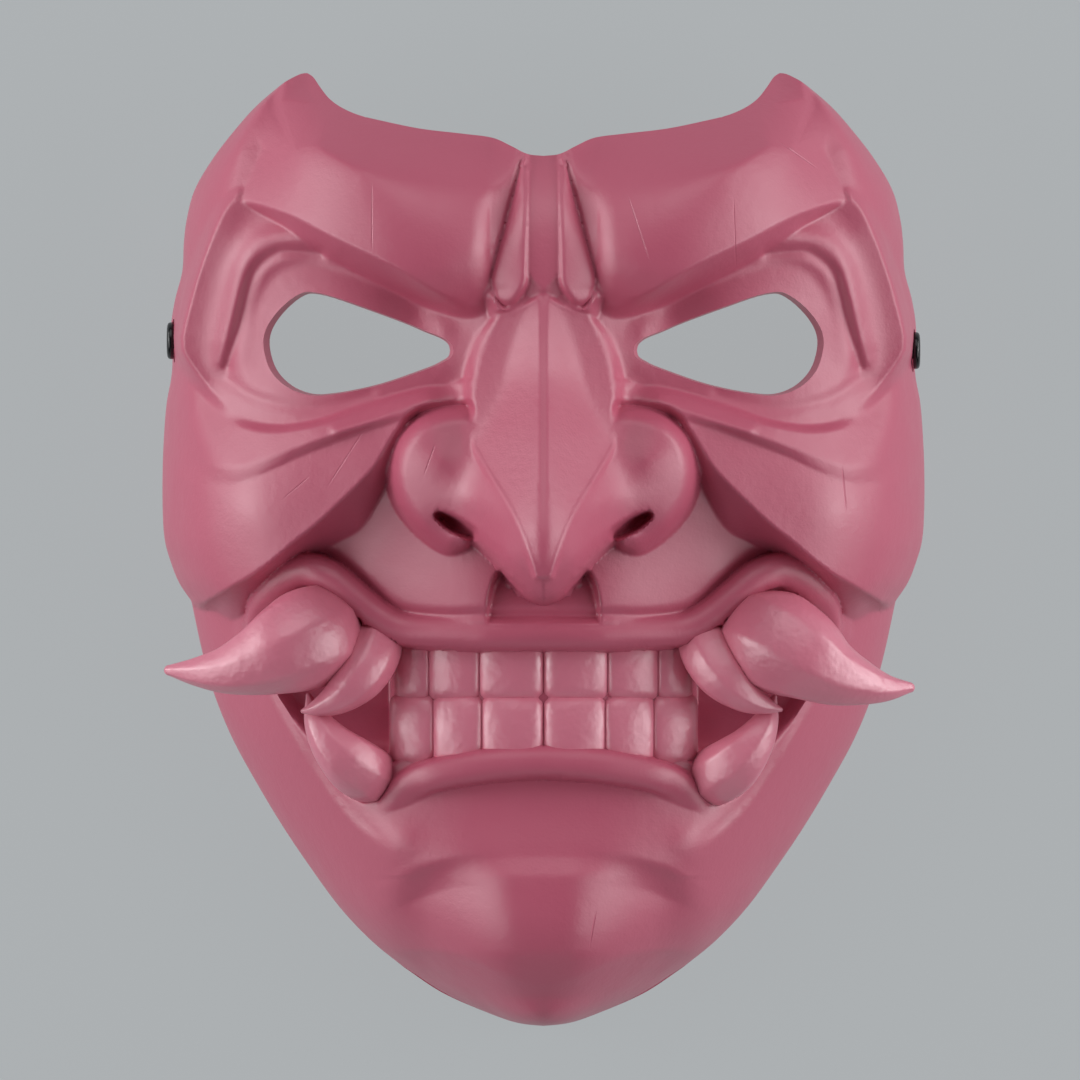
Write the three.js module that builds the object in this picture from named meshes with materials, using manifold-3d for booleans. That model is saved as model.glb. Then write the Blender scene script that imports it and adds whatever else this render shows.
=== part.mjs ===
// Samurai demon mask, cast in one piece, with two strap studs at its temples.
// It lies on its back rim with the face up: +X to the viewer's right, +Y up the face, +Z out of it.
// Millimetres. The face is a height above the rim plane, built up plate by plate as it was carved.
import * as THREE from 'three';
import { mergeVertices } from 'three/addons/utils/BufferGeometryUtils.js';
import Module from 'manifold-3d';

// Casting
const WALL = 4.4;
const INSIDE_BALL = 12;
const INSIDE_CELL = 1.6;
const INSIDE_REACH = 4;
const NO_MATERIAL = -60;
const OPEN_TOP = 9;
const HORN_ROOT_X = 50;
const HORN_ROOT_Y = 106;

// Facets: how far apart the vertices lie
const STEP_OUTLINE = 5;
const STEP_CARVING = 3.5;
const STEP_FACE = 9.8;
const STEP_INSIDE = 10.4;
const CLOSEST_POINTS = 1.1;
const OUTER_ROWS = [0.3, 1.5, 4.2];
const INNER_ROWS = [0.3, 2.5];
const CREASE_REACH = 1.5;
const LEAST_CREASE = 0.35;

// Eye holes
const EYE_BACK_Z = 10;
const EYE_FRONT_Z = 90;

// Teeth: half of each row, from the middle outwards, as [inner x, outer x]
const UPPER_TEETH = [[0.7, 15.4], [16.4, 27.6], [28.4, 35.4]];
const LOWER_TEETH = [[0.7, 14.8], [15.4, 26.4], [27.3, 36.6]];
const UPPER_TOOTH_Y = [-35.5, -22];
const LOWER_TOOTH_Y = [-51.5, -36.1];
const TOOTH_FRONT = 60;
const TOOTH_ARCH = 0.0068;
const TOOTH_DEPTH = 14;
const TOOTH_SIDES = 10;
const TOOTH_SQUARE = 0.35;

// Strap studs: a flat head with a bevelled edge, and a shank through the wall
const STUD_HEAD_RADIUS = 4.5;
const STUD_HEAD_THICKNESS = 1.7;
const STUD_SHANK_RADIUS = 2;
const STUD_SHANK_LENGTH = 6.5;
const STUD_CLEARANCE = 0.3;
const STUD_SEAT_X = 90.2;
const STUD_Z = 13;
const STUD_Y = { left: 51, right: 48.6 };
const STUD_SIDES = 12;

const clamp = THREE.MathUtils.clamp;

function ease(t) {
  const s = clamp(t, 0, 1);
  return s * s * (3 - 2 * s);
}

// The lower of two, rounded where they are within reach of each other
function smoothMin(a, b, reach) {
  const h = clamp(0.5 + (0.5 * (b - a)) / reach, 0, 1);
  return b + (a - b) * h - reach * h * (1 - h);
}

// A Catmull-Rom line through points of any number of columns
function curve(points, steps = 5) {
  const last = points.length - 1;
  const before = points[0].map((value, k) => 2 * value - points[1][k]);
  const after = points[last].map((value, k) => 2 * value - points[last - 1][k]);
  const all = [before, ...points, after];
  const line = [];
  for (let i = 0; i < last; i += 1) {
    const [a, b, c, d] = all.slice(i, i + 4);
    for (let j = 0; j < steps; j += 1) {
      const t = j / steps;
      line.push(b.map((value, k) => 0.5 * (2 * value + (c[k] - a[k]) * t
        + (2 * a[k] - 5 * value + 4 * c[k] - d[k]) * t * t
        + (3 * value - a[k] - 3 * c[k] + d[k]) * t * t * t)));
    }
  }
  line.push(points[last]);
  return line;
}

// A table: the second column as a function of the first, smooth, or straight between the points with 1 step
function table(points, steps = 8) {
  const line = curve(points, steps);
  return (x) => {
    const i = line.findIndex((p) => p[0] >= x);
    if (i === 0) return line[0][1];
    if (i < 0) return line.at(-1)[1];
    const [x0, y0] = line[i - 1];
    const [x1, y1] = line[i];
    return y0 + ((y1 - y0) * (x - x0)) / (x1 - x0);
  };
}

// Distance to a line, positive on its left, and the line's further columns at the nearest point
function nearest(x, y, line) {
  const best = { distance: Infinity, side: 0, extra: [] };
  for (let i = 1; i < line.length; i += 1) {
    const a = line[i - 1];
    const b = line[i];
    const dx = b[0] - a[0];
    const dy = b[1] - a[1];
    const length2 = dx * dx + dy * dy;
    if (length2 === 0) continue;
    const t = clamp(((x - a[0]) * dx + (y - a[1]) * dy) / length2, 0, 1);
    const ex = x - a[0] - t * dx;
    const ey = y - a[1] - t * dy;
    const distance = Math.hypot(ex, ey);
    if (distance < best.distance) {
      best.distance = distance;
      best.side = dx * ey - dy * ex >= 0 ? 1 : -1;
      best.extra = a.slice(2).map((value, k) => value + t * (b[k + 2] - value));
    }
  }
  return best;
}

// Distance to a closed outline, positive inside it
function depthInside(x, y, outline) {
  const ring = [...outline, outline[0]];
  let odd = false;
  for (let i = 1; i < ring.length; i += 1) {
    const [ax, ay] = ring[i - 1];
    const [bx, by] = ring[i];
    if (ay > y !== by > y && x < ((bx - ax) * (y - ay)) / (by - ay) + ax) odd = !odd;
  }
  const { distance } = nearest(x, y, ring);
  return odd ? distance : -distance;
}

// Thin-plate surface through spot heights [x, y, z]
function spots(points) {
  const n = points.length;
  const bend = (r2) => (r2 > 0 ? r2 * Math.log(r2) : 0);
  const rows = points.map(([x, y, z]) => [
    ...points.map(([u, v]) => bend((x - u) ** 2 + (y - v) ** 2)), 1, x, y, z]);
  for (let k = 0; k < 3; k += 1) {
    rows.push([...points.map((p) => [1, p[0], p[1]][k]), 0, 0, 0, 0]);
  }
  const size = n + 3;
  for (let c = 0; c < size; c += 1) {
    let pivot = c;
    for (let r = c + 1; r < size; r += 1) {
      if (Math.abs(rows[r][c]) > Math.abs(rows[pivot][c])) pivot = r;
    }
    [rows[c], rows[pivot]] = [rows[pivot], rows[c]];
    for (let r = 0; r < size; r += 1) {
      if (r === c) continue;
      const factor = rows[r][c] / rows[c][c];
      for (let k = c; k <= size; k += 1) rows[r][k] -= factor * rows[c][k];
    }
  }
  const weight = rows.map((row, c) => row[size] / row[c]);
  return (x, y) => points.reduce(
    (z, [u, v], i) => z + weight[i] * bend((x - u) ** 2 + (y - v) ** 2),
    weight[n] + weight[n + 1] * x + weight[n + 2] * y);
}

function mirrored(points) {
  return [...points, ...points.filter((p) => p[0] !== 0).map(([x, ...rest]) => [-x, ...rest])];
}

// Outline of the right half, from the chin round the jaw and cheek to the horn, then to the middle
const CHIN_EDGE = curve([[0, -116], [7, -115.3], [15, -112.5], [25, -108], [34, -102]]);
const JAW_EDGE = curve([[34, -102], [42, -95.5], [50, -87], [58, -76], [64, -67], [70, -57], [76, -46],
  [80.5, -35], [83.3, -25], [86, -12.5]]);
const CHEEK_EDGE = curve([[86, -12.5], [89, -8], [91, -3], [92.5, 2.5], [93, 10], [93, 20], [92.6, 29], [92, 36],
  [90.9, 42], [90.6, 47], [91, 54], [90, 61], [88.2, 68], [87.8, 75], [87, 81], [85, 88], [80.5, 95.5],
  [75, 102.5], [70, 108], [64, 113], [59.5, 115.6], [57.5, 116]]);
const TOP_EDGE = curve([[57.5, 116], [56, 115], [54.3, 112.5], [52, 109.6], [49, 107.4], [45, 105.6], [40, 104.3],
  [30, 102.2], [20, 101], [12.5, 100], [8, 98], [4, 96], [0, 95.5]]);
const SIDE_EDGE = [...CHIN_EDGE, ...JAW_EDGE.slice(1), ...CHEEK_EDGE.slice(1)];
const HALF_OUTLINE = [...SIDE_EDGE, ...TOP_EDGE.slice(1)];

function topEdgeY(x) {
  const i = TOP_EDGE.findIndex((p) => p[0] <= x);
  if (i <= 0) return TOP_EDGE[0][1];
  const [x0, y0] = TOP_EDGE[i - 1];
  const [x1, y1] = TOP_EDGE[i];
  return y0 + ((y1 - y0) * (x - x0)) / (x1 - x0);
}

function halfWidth(y) {
  const i = SIDE_EDGE.findIndex((p) => p[1] >= y);
  if (i === 0) return 1;
  if (i < 0) return SIDE_EDGE.at(-1)[0];
  const [x0, y0] = SIDE_EDGE[i - 1];
  const [x1, y1] = SIDE_EDGE[i];
  return Math.max(x0 + ((x1 - x0) * (y - y0)) / (y1 - y0), 1);
}

// The rim is flat, and rises under the horns
const rimRise = table([[-120, 0], [0, 0], [60, 0], [75, 3], [90, 11], [104, 21], [116.2, 31], [120, 33]]);
const rimHeight = (y) => Math.max(rimRise(y), 0);

const always = (value) => () => value;

// A plate lies over what is carved so far: its surface inside the outline, and a wall round it that
// slopes straight, or is rounded where soft is 1
function plate(outline, height, wall, soft = always(0)) {
  return {
    lines: [{ line: [...outline, outline[0]], offsets: (x, y) => [0, wall(x, y)] }],
    carve: (x, y, z) => {
      const width = wall(x, y);
      const depth = depthInside(x, y, outline);
      if (depth < -width) return z;
      const straight = clamp(1 + depth / width, 0, 1);
      const part = straight + (ease(straight) - straight) * soft(x, y);
      return z + (height(x, y, z) - z) * part;
    },
  };
}

// A roll is a rounded bead along a line whose third column is its height
function roll(points, radius, roundness) {
  const line = curve(points);
  return {
    lines: [{ line, offsets: always([0, radius - 0.1, 0.1 - radius, radius + 0.9, -radius - 0.9]) }],
    carve: (x, y, z) => {
      const { distance, extra } = nearest(x, y, line);
      if (distance >= radius) return z;
      const drop = 1 - Math.sqrt(1 - (distance / radius) ** 2);
      return Math.max(z, extra[0] - roundness * radius * drop);
    },
  };
}

// A soft ridge along a line, or a groove where it rises by less than nothing
function ridge(points, rise, width) {
  const line = curve(points);
  return {
    lines: [{ line, offsets: always([0, width, -width]) }],
    carve: (x, y, z) => z + rise * Math.exp(-((nearest(x, y, line).distance / width) ** 2)),
  };
}

// The plain shell under the carving
function headSurface() {
  const depth = table([[-120, 0], [-116, 4], [-113, 26], [-108, 40], [-100, 50], [-88, 55], [-75, 56], [-60, 55],
    [-40, 55], [-20, 57], [0, 60], [30, 62], [60, 66], [80, 70], [90, 68], [96, 62], [105, 52], [116, 40]]);
  const fullness = table([[-120, 2.0], [-100, 2.1], [-60, 2.8], [-20, 2.8], [0, 2.6], [40, 2.6], [80, 2.4], [120, 2.2]]);
  const edge = table([[-120, 0.5], [-100, 0.62], [-60, 0.75], [-20, 0.7], [-8, 0.6], [20, 0.5], [60, 0.5], [120, 0.6]]);
  return (x, y) => {
    const across = clamp(x / halfWidth(y), 0, 1);
    const low = rimHeight(y);
    return low + (depth(y) - low) * (1 - across ** fullness(y)) ** edge(y);
  };
}
const head = headSurface();

// Nothing stands out past the side of the mask: a plate's surface is rounded off to it
function roundedOff(surface, height) {
  return (x, y) => {
    const low = rimHeight(y);
    const side = Math.sqrt(clamp(1 - clamp(x / halfWidth(y), 0, 1) ** 4, 0, 1));
    return smoothMin(surface(x, y), low + 1.5 + (height - low) * side, 3);
  };
}

// Chin: a boss with a hollow over it, and a bevel scooped out under each side
function chin() {
  const top = table([[0, -74.7], [10, -75], [20, -76.3], [27, -78], [36, -82], [60, -96]]);
  const topLine = [0, 6, 12, 18, 24, 30].map((x) => [x, top(x)]);
  const scoop = curve([[62, -97], [48, -100], [42, -99.8], [37, -98.6], [33, -97.4], [28, -97.1], [22, -98], [17, -99.6],
    [12, -101.8], [7, -104], [0, -106]]);
  const BOSS = 9;
  const BOSS_RISE = 8;
  const BOSS_FLANK = 2.6;
  const SCOOP_SLOPE = 0.55;
  const SCOOP_REACH = 14;
  return {
    lines: [{ line: topLine, offsets: always([-2, 1.5, BOSS_RISE - 2]) }, { line: scoop, offsets: always([0]) }],
    carve: (x, y, z) => {
      const below = top(x) - y;
      const beside = 1 - ease((x - 22) / 18);
      const boss = BOSS * ease((below + 2.5) / BOSS_RISE) - 0.0035 * clamp(below, 0, 60) ** 2;
      const flank = BOSS_FLANK * ease((x - 5) / 16) * ease(below / 6) * (1 - ease((x - 24) / 10));
      const carved = z + (boss - flank) * beside;
      if (y > -90) return carved;
      const { distance, side } = nearest(x, y, scoop);
      const under = side > 0 ? Math.min(distance, SCOOP_REACH) : 0;
      return carved - SCOOP_SLOPE * under * (0.3 + 0.7 * ease(x / 16));
    },
  };
}

// Muzzle between the nose and the upper lip, and the gutter in its middle
const muzzle = plate(
  [[-5, 30], [40, 30], [42, 14], [60, 6], [70, -8], [71.5, -20], [60, -20], [45, -18], [-5, -22]],
  spots(mirrored([[0, -14, 66], [0, 8, 68], [14, -14, 66], [14, 5, 67], [25, -12, 61.8], [25, 5, 62.5], [38, -10, 55],
    [38, 10, 55], [50, 0, 49], [47, -8, 51], [60, -3, 45], [66, -8, 41], [71, -18, 34]])),
  always(4));
const PHILTRUM_DEPTH = 2.2;
const philtrum = plate(
  [...curve([[13, -17], [12.9, -14], [12.2, -10], [11.2, -7.2], [9.6, -4.6]]), [8, -2], [-8, -2], [-8, -17]],
  (x, y, z) => z - PHILTRUM_DEPTH * (1 + ease((y + 16) / 8)), always(0.9));

// Cheek plate, standing over the muzzle and the jaw with a sharp lower edge
const cheekWall = table([[34, 2.5], [38, 5], [44, 8], [50, 6.5], [56, 4.8], [62, 3.8], [66, 4], [70, 6], [75, 7.5],
  [80, 3.2], [84, 0.8]]);
const cheek = plate(
  [...curve([[30, 40], [34, 32], [37, 27], [41, 20.5], [45, 16], [50, 11], [55, 6.3], [60, 2.3], [65, -2], [70, -5.6],
    [75, -8.4], [80, -11.3], [83.5, -13.3]]), [86, -12.6], [100, -12], [100, 60], [30, 60]],
  roundedOff(spots([[36, 30, 69], [45, 20, 68], [50, 11, 67], [60, 3, 63.5], [70, -5, 57.5], [83, -13, 43],
    [60, 25, 62], [75, 20, 54.5], [83, 10, 48], [83, 25, 45], [70, 8, 60]]), 76),
  (x) => cheekWall(x));

// Bag under the eye, lying on the cheek plate, with a soft fold over the wing of the nose
const bagWall = table([[40, 1.2], [55, 2.2]], 1);
const bag = plate(
  [...curve([[100, 24], [92.8, 24.6], [90, 22.4], [86, 20.8], [80, 20.2], [75, 20.2], [70, 21.3], [65, 23], [60, 25],
    [50, 28.4], [45, 30], [40, 31.6], [34, 33.8], [28, 35.6], [22, 36.3], [14, 36.6]]), [14, 60], [100, 60]],
  roundedOff(spots([[17, 42, 63], [20, 36.5, 67.5], [28, 37, 67.5], [36, 34.5, 67.8], [45, 32, 66.5], [60, 27, 63.2],
    [72, 23, 57.2], [84, 24, 47], [55, 36, 61], [44, 37, 62.5], [32, 41.5, 62], [24, 42, 63], [70, 34, 53.5],
    [80, 34, 44.5], [86, 30, 42]]), 74),
  (x) => bagWall(x));
const bagFold = ridge([[52, 28.5], [44, 30.7], [36, 33.4], [28, 35.9], [22, 36.8], [16, 36.4]], 0.5, 1.6);

// Temple, falling away from the brow and the socket
const temple = plate(
  [...curve([[100, 44], [92, 44], [88.2, 48], [87.8, 52], [86, 59], [84, 66.5], [80.8, 75], [77, 82], [73.2, 85.4]]),
    [66, 98], [64, 104.5], [60, 118], [110, 118]],
  roundedOff(spots([[64, 104, 45], [68, 95, 47.5], [72.5, 86, 48.5], [61, 113, 38], [80, 76, 42], [84, 66, 38.5],
    [87, 54, 35], [90, 46, 27], [74, 98, 39], [80, 90, 35.5], [85.5, 80, 29]]), 66),
  always(2.5), always(1));

// Eye socket: a shelf, the mound that the eye hole is cut in, and round it a channel, a fold and a groove
const shelfWall = table([[60, 2], [72, 3], [80, 3.5]], 1);
const shelf = plate(
  [...curve([[24, 41], [32.7, 39], [44.9, 35.5], [55.2, 31.9], [64.8, 30.7], [73.4, 32.9], [80.3, 39], [86.4, 46.7],
    [87.4, 50.5], [87, 54], [85.5, 60], [83.5, 67], [80.5, 75], [77, 82], [73.5, 85.3]]),
  [66, 84], [50, 80], [30, 75], [14, 66], [13, 50], [16, 43]],
  spots([[84, 50, 35.5], [80, 66, 41], [76, 78, 46.5], [71, 82, 51.5], [78, 42, 41], [72, 35, 51], [60, 33, 58.5],
    [45, 37, 62.5], [30, 41, 62], [20, 43, 63.5], [17, 46, 65.5], [17, 52, 65.5], [19, 56, 65], [26, 56, 60.5],
    [33, 60, 62.5], [40, 63.5, 65], [50, 68.5, 63], [58, 72.5, 59], [66, 77, 54.5], [48, 50, 62]]),
  (x) => shelfWall(x), always(1));
const eyeMound = plate(
  curve([[20, 47], [28, 45], [36, 43], [43, 41], [50, 39], [58, 37.8], [65, 39.5], [69.5, 43], [71.5, 48], [70.5, 54],
    [68, 61], [64.5, 66], [60, 68], [55, 68.3], [48, 66], [40, 62.5], [30, 58], [22, 54]]),
  spots([[24, 48, 60], [30, 44, 61], [42, 39, 62], [55, 36.5, 60], [66, 38, 55.5], [71, 44, 51], [71.5, 50, 50],
    [69, 59, 51.5], [65, 67, 54], [56, 68, 58], [40, 62, 61], [30, 56.5, 58], [48, 50, 62.5], [22, 53, 60]]),
  always(6), always(1));
const channel = ridge([[66, 82], [72.5, 79], [77, 71.5], [80, 63], [82, 55], [82.6, 49], [79.5, 43]], -2.6, 4);
const fold = ridge(
  [[50, 73.6], [58, 76], [65, 75.9], [70, 73.6], [73.2, 68.5], [75, 61], [76.5, 54], [78.6, 46]], 1.5, 2);
const groove = ridge([[54, 72.2], [60, 72.6], [64.7, 72], [69.6, 68.2], [72, 62.6], [73.9, 55], [76.8, 44.8]], -1.9, 1.3);
const lidLine = ridge([[77, 41.5], [72, 38], [67.3, 36.2], [58.7, 34.4], [50, 35.4], [42, 37.8]], -0.7, 1.1);

// Brow, sharp outside and rolled under towards the nose
const browWall = table([[12, 3.5], [18, 4.5], [25, 5], [40, 5.4], [50, 5], [58, 4], [66, 2.5], [73, 1.2]]);
const browSpots = spots([[13, 64, 73.5], [13, 82, 73.5], [6, 96, 71], [20, 72, 77], [30, 84, 77], [32, 70, 78],
  [45, 78, 74], [45, 90, 71.5], [60, 97, 57], [60, 82, 64], [72, 86, 50], [64, 104, 46.5], [68, 95, 49]]);
const brow = plate(
  [...curve([[73.2, 85.4], [65, 82.5], [60, 80.5], [50, 75.3], [40, 70.5], [35, 68], [30, 65.2], [25, 62.6], [20, 60.6],
    [16, 60.2], [12.8, 62.5]]), ...curve([[12.6, 68], [12.6, 84], [9, 90], [6, 95], [4.6, 100]]),
  [4, 118], [62, 118], [64, 104.5], [69, 94]],
  (x, y) => {
    const inner = 5.5 * (1 - clamp((x - 12.6) / 10, 0, 1)) ** 3 * (1 - ease((y - 80) / 12));
    const lower = 3.5 * (1 - clamp((y - 60) / 9, 0, 1)) ** 2 * (1 - ease((x - 22) / 16));
    return browSpots(x, y) - inner - lower;
  },
  (x) => browWall(x), (x) => 1 - ease((x - 24) / 16));

// Furrows over the nose: a facet each side that falls outwards, a pillow on it, and a flat strip between
const strip = (x, y) => 75 - 0.0075 * (y - 66) ** 2;
const facetWall = table([[56, 3], [62, 2.2], [68, 0.8]], 1);
const furrowFacet = plate(
  [...curve([[4, 100], [5.4, 94.5], [8.2, 90], [11.2, 86], [12.6, 80], [12.7, 68], [12.5, 62], [10.5, 58.4]]),
    [4, 60.3], [0, 61.6], [-6, 61.6], [-6, 100]],
  (x, y) => strip(x, y) - 5 + 0.68 * (12.6 - x), (x, y) => facetWall(y));
const pillowOutline = curve([[3.3, 102], [4.9, 98], [5.6, 93], [7.2, 86], [9.3, 78], [12.3, 67], [12, 62.5],
  [10.4, 59.7], [8.6, 59], [6.4, 61], [4.1, 65.3], [3.8, 75], [3.4, 90]]);
const pillowStart = table([[59, 4.6], [66, 4.1], [100, 3.3]], 1);
const pillow = plate(
  pillowOutline,
  (x, y) => {
    const across = x - pillowStart(y);
    const end = 1 - clamp((y - 58.6) / 7, 0, 1);
    const rounded = 1 - clamp(depthInside(x, y, pillowOutline) / 1.1, 0, 1);
    return strip(x, y) + 1.3 - 0.22 * across - 0.045 * Math.max(across, 0) ** 2 - 2.5 * end ** 2 - 0.9 * rounded ** 2;
  },
  always(0.6));
const stripWall = table([[62, 3.5], [67, 2], [70, 0.7]], 1);
const middleStrip = plate([[-6, 120], [3.2, 120], [3.4, 85], [3.8, 67], [0, 63.2], [-6, 63.2]],
  (x, y) => strip(x, y) - 0.2, (x, y) => stripWall(y));

// The forehead leans back above a crease, sharp at the temples and soft in the middle
const TOP_BAND_SLOPE = 0.85;
function topBand() {
  const line = curve([[80, 112], [64, 104.5], [58, 100.3], [50, 95], [42, 91.2], [34, 88.6], [24, 86.5], [12, 85], [0, 84]]);
  const soft = table([[20, 5], [52, 0.6]], 1);
  return {
    lines: [{ line, offsets: always([0]) }],
    carve: (x, y, z) => {
      if (x >= 66) return z;
      const { distance, side } = nearest(x, y, line);
      const over = (Math.hypot(distance, soft(x)) - side * distance) / 2;
      return z - TOP_BAND_SLOPE * Math.min(over, 40) * (0.55 + 0.45 * ease((x - 4) / 10));
    },
  };
}

// Nose: the wings and tip, then the bridge as a long kite that lies on them
const lobeSpots = spots([[19, 31, 76.5], [28, 29, 77], [34, 22, 77.5], [34, 14, 75.5], [27, 22, 80.5], [24, 12, 78],
  [30, 8, 75], [17.5, 25, 79.3], [19.5, 17, 80.5], [14, 12, 88], [9.5, 7.5, 94.6], [5, 0.5, 100.6], [13, 5, 87],
  [20, 5, 76], [7.5, -2, 95.5], [5, -8, 92], [0, -11, 93], [0, -6, 101]]);
const lobeOutline = [...curve([[-4, -13], [0, -12], [3, -11], [6.5, -7.8], [9.6, -4.4], [13, -0.6], [17, 2.4],
  [19.5, 0.8], [23, 0], [27, 2], [31.8, 6.3], [35.4, 11.5], [36.9, 17], [36.4, 22], [34.4, 26.8], [30, 31.6],
  [25, 33.2], [20, 33.4], [17, 32.6]]), [14, 36], [-4, 36]];
const LOBE_ROUND = 7.5;
const LOBE_REACH = 6.5;
const nostrilLobes = plate(
  lobeOutline,
  (x, y) => lobeSpots(x, y) - LOBE_ROUND * (1 - clamp(depthInside(x, y, lobeOutline) / LOBE_REACH, 0, 1)) ** 2,
  always(1.2));
nostrilLobes.lines[0].offsets = always([-4.5, -1.8, 0, 1.2]);
const ridgeHeight = table([[-14, 98], [-8, 102], [0, 104], [10, 102.5], [25, 95.8], [40, 85.5], [55, 75.5], [62, 71],
  [70, 65]]);
const ridgeRound = table([[-14, 3.4], [-4, 2.6], [8, 1.6], [20, 0.8], [40, 0.6], [62, 0.5]]);
const innerSlope = table([[-14, 0.9], [5, 0.95], [15, 1.02], [25, 1.06], [30, 1.16], [37, 1.3], [45, 1.36], [55, 1.25],
  [62, 0.9]]);
const outerSlope = table([[-14, 0.85], [5, 0.9], [15, 0.98], [25, 1], [35, 0.85], [45, 0.72], [55, 0.6], [62, 0.5]]);
const slopeTurn = table([[-14, 22], [15, 22], [25, 18], [33, 11], [45, 8], [55, 6], [62, 4]]);
const bridgeWall = table([[24, 1], [30, 1.2], [42, 3.5], [52, 3.5], [58, 1.2]], 1);
const bridge = plate(
  [...curve([[0, 61.9], [5.6, 58.6], [8.5, 57.4], [10.6, 56.8], [12.4, 53.2], [14.8, 48.1], [16.2, 43], [16.7, 38],
    [16.4, 33], [16.8, 29], [17.2, 25.2]]),
  ...curve([[17.2, 25.2], [14.2, 19.8], [10.6, 14], [7.6, 8.8], [5.2, 3.5], [3.4, -1.5], [1.8, -6.5]]).slice(1),
  [-4, -8], [-4, 60]],
  (x, y) => {
    const away = Math.abs(x);
    const across = Math.hypot(away, ridgeRound(y)) - ridgeRound(y);
    const beyond = (away - slopeTurn(y) + Math.hypot(away - slopeTurn(y), 2)) / 2;
    return ridgeHeight(y) - innerSlope(y) * across + (innerSlope(y) - outerSlope(y)) * beyond;
  },
  (x, y) => bridgeWall(y), always(1));
bridge.lines.push({ line: [[0, 62], [0, -12]], offsets: always([0, 1.2]) });

// Nostril: a blind slit under each wing
const NOSTRIL_DEPTH = 6;
const nostril = plate(curve([[16.8, 3.4], [19.5, 3.6], [23, 5], [25.6, 7], [25.3, 8.6], [22.5, 8.2], [19, 6.6],
  [16.8, 4.6], [16.8, 3.4]]), (x, y, z) => z - NOSTRIL_DEPTH, always(1));

// Mouth: the jaw rises to a fold, then drops to the floor that the teeth and tusks stand on
const mouthOutline = [[0, -24.5], [20, -24], [34, -22.5], [40, -20], [45, -16], [50, -11], [57, -8.7], [62, -10.5],
  [66, -14.5], [69, -20], [68.5, -28], [65, -35.5], [60, -44], [57, -49], [53, -55], [50, -59.5], [45, -65], [40, -69],
  [36.5, -71], [36, -66], [36, -60], [37, -55], [37, -52], [28, -50.5], [15, -48.5], [0, -47.4], [-5, -47.4],
  [-5, -24.5]];
const foldLine = curve([[66, -30], [65, -35.5], [60, -44], [57, -49], [53, -55], [50, -59.5], [45, -65], [40, -69],
  [36.5, -71]]);
const JAW_FOLD = 3;
const JAW_FOLD_WIDTH = 5;
const mouthWall = (y) => (y < -24 ? 3.6 : 2);
const mouth = {
  lines: [{ line: mouthOutline, offsets: (x, y) => [0, -mouthWall(y)] }],
  carve: (x, y, z) => {
    const raised = z + JAW_FOLD * Math.exp(-((nearest(x, y, foldLine).distance / JAW_FOLD_WIDTH) ** 2));
    const floor = 45 - 0.0062 * x * x;
    return raised + (floor - raised) * clamp(depthInside(x, y, mouthOutline) / mouthWall(y), 0, 1);
  },
};
const lipGroove = ridge([[0, -15.6], [14, -15.6], [24, -15.8], [33, -15], [38, -12.8], [44, -7.4], [50, -2.6], [56, -0.4]],
  -1.2, 1.2);
const upperLip = roll([[-8, -20.3, 65.5], [0, -20.3, 65.5], [12, -20.3, 65.3], [20, -20, 63], [33, -19.5, 57.8],
  [40, -16.6, 55.8], [46, -11.8, 54], [52, -7.2, 53], [57.5, -5.2, 51.5], [63, -7.5, 48], [67.5, -12.5, 43],
  [69.6, -17, 39]], 4.3, 0.75);
const lowerLip = roll([[-8, -51.3, 61], [0, -51.3, 61], [12, -52, 60.5], [22, -53.6, 58.8], [29, -56, 56.5],
  [33.6, -60.2, 54.5], [35.4, -66, 52.5], [36, -70, 50.5]], 4.2, 0.8);

const CARVING = [chin(), muzzle, philtrum, cheek, bag, bagFold, temple, shelf, eyeMound, channel, fold, groove, brow,
  furrowFacet, pillow, middleStrip, topBand(), nostrilLobes, bridge, nostril, lipGroove, mouth, lowerLip, upperLip,
  lidLine];

function face(x, y) {
  const across = Math.abs(x);
  const carved = CARVING.reduce((z, feature) => feature.carve(across, y, z), head(across, y));
  return Math.max(carved, rimHeight(y) + 0.5);
}

// Points a fixed step apart along a line, each with the direction to its left
function paces(line, step) {
  const lengths = [0];
  for (let i = 1; i < line.length; i += 1) {
    lengths.push(lengths[i - 1] + Math.hypot(line[i][0] - line[i - 1][0], line[i][1] - line[i - 1][1]));
  }
  const count = Math.max(1, Math.round(lengths.at(-1) / step));
  const result = [];
  let i = 1;
  for (let n = 0; n <= count; n += 1) {
    const along = (lengths.at(-1) * n) / count;
    while (i < line.length - 1 && (lengths[i] < along || lengths[i] === lengths[i - 1])) i += 1;
    const [ax, ay] = line[i - 1];
    const [bx, by] = line[i];
    const length = lengths[i] - lengths[i - 1];
    const t = (along - lengths[i - 1]) / length;
    result.push({ x: ax + t * (bx - ax), y: ay + t * (by - ay), left: [-(by - ay) / length, (bx - ax) / length] });
  }
  return result;
}

// Keeps points that are not too close to one kept before
class Scatter {
  constructor(reach) {
    this.reach = reach;
    this.points = [];
    this.cells = new Map();
  }

  free(x, y, gap) {
    const cx = Math.floor(x / this.reach);
    const cy = Math.floor(y / this.reach);
    for (let i = cx - 1; i <= cx + 1; i += 1) {
      for (let j = cy - 1; j <= cy + 1; j += 1) {
        for (const [px, py] of this.cells.get(`${i},${j}`) ?? []) {
          if (Math.hypot(px - x, py - y) < gap) return false;
        }
      }
    }
    return true;
  }

  add(x, y, gap) {
    if (!this.free(x, y, gap)) return;
    const key = `${Math.floor(x / this.reach)},${Math.floor(y / this.reach)}`;
    this.cells.set(key, [...(this.cells.get(key) ?? []), [x, y]]);
    this.points.push([x, y]);
  }
}

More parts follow.
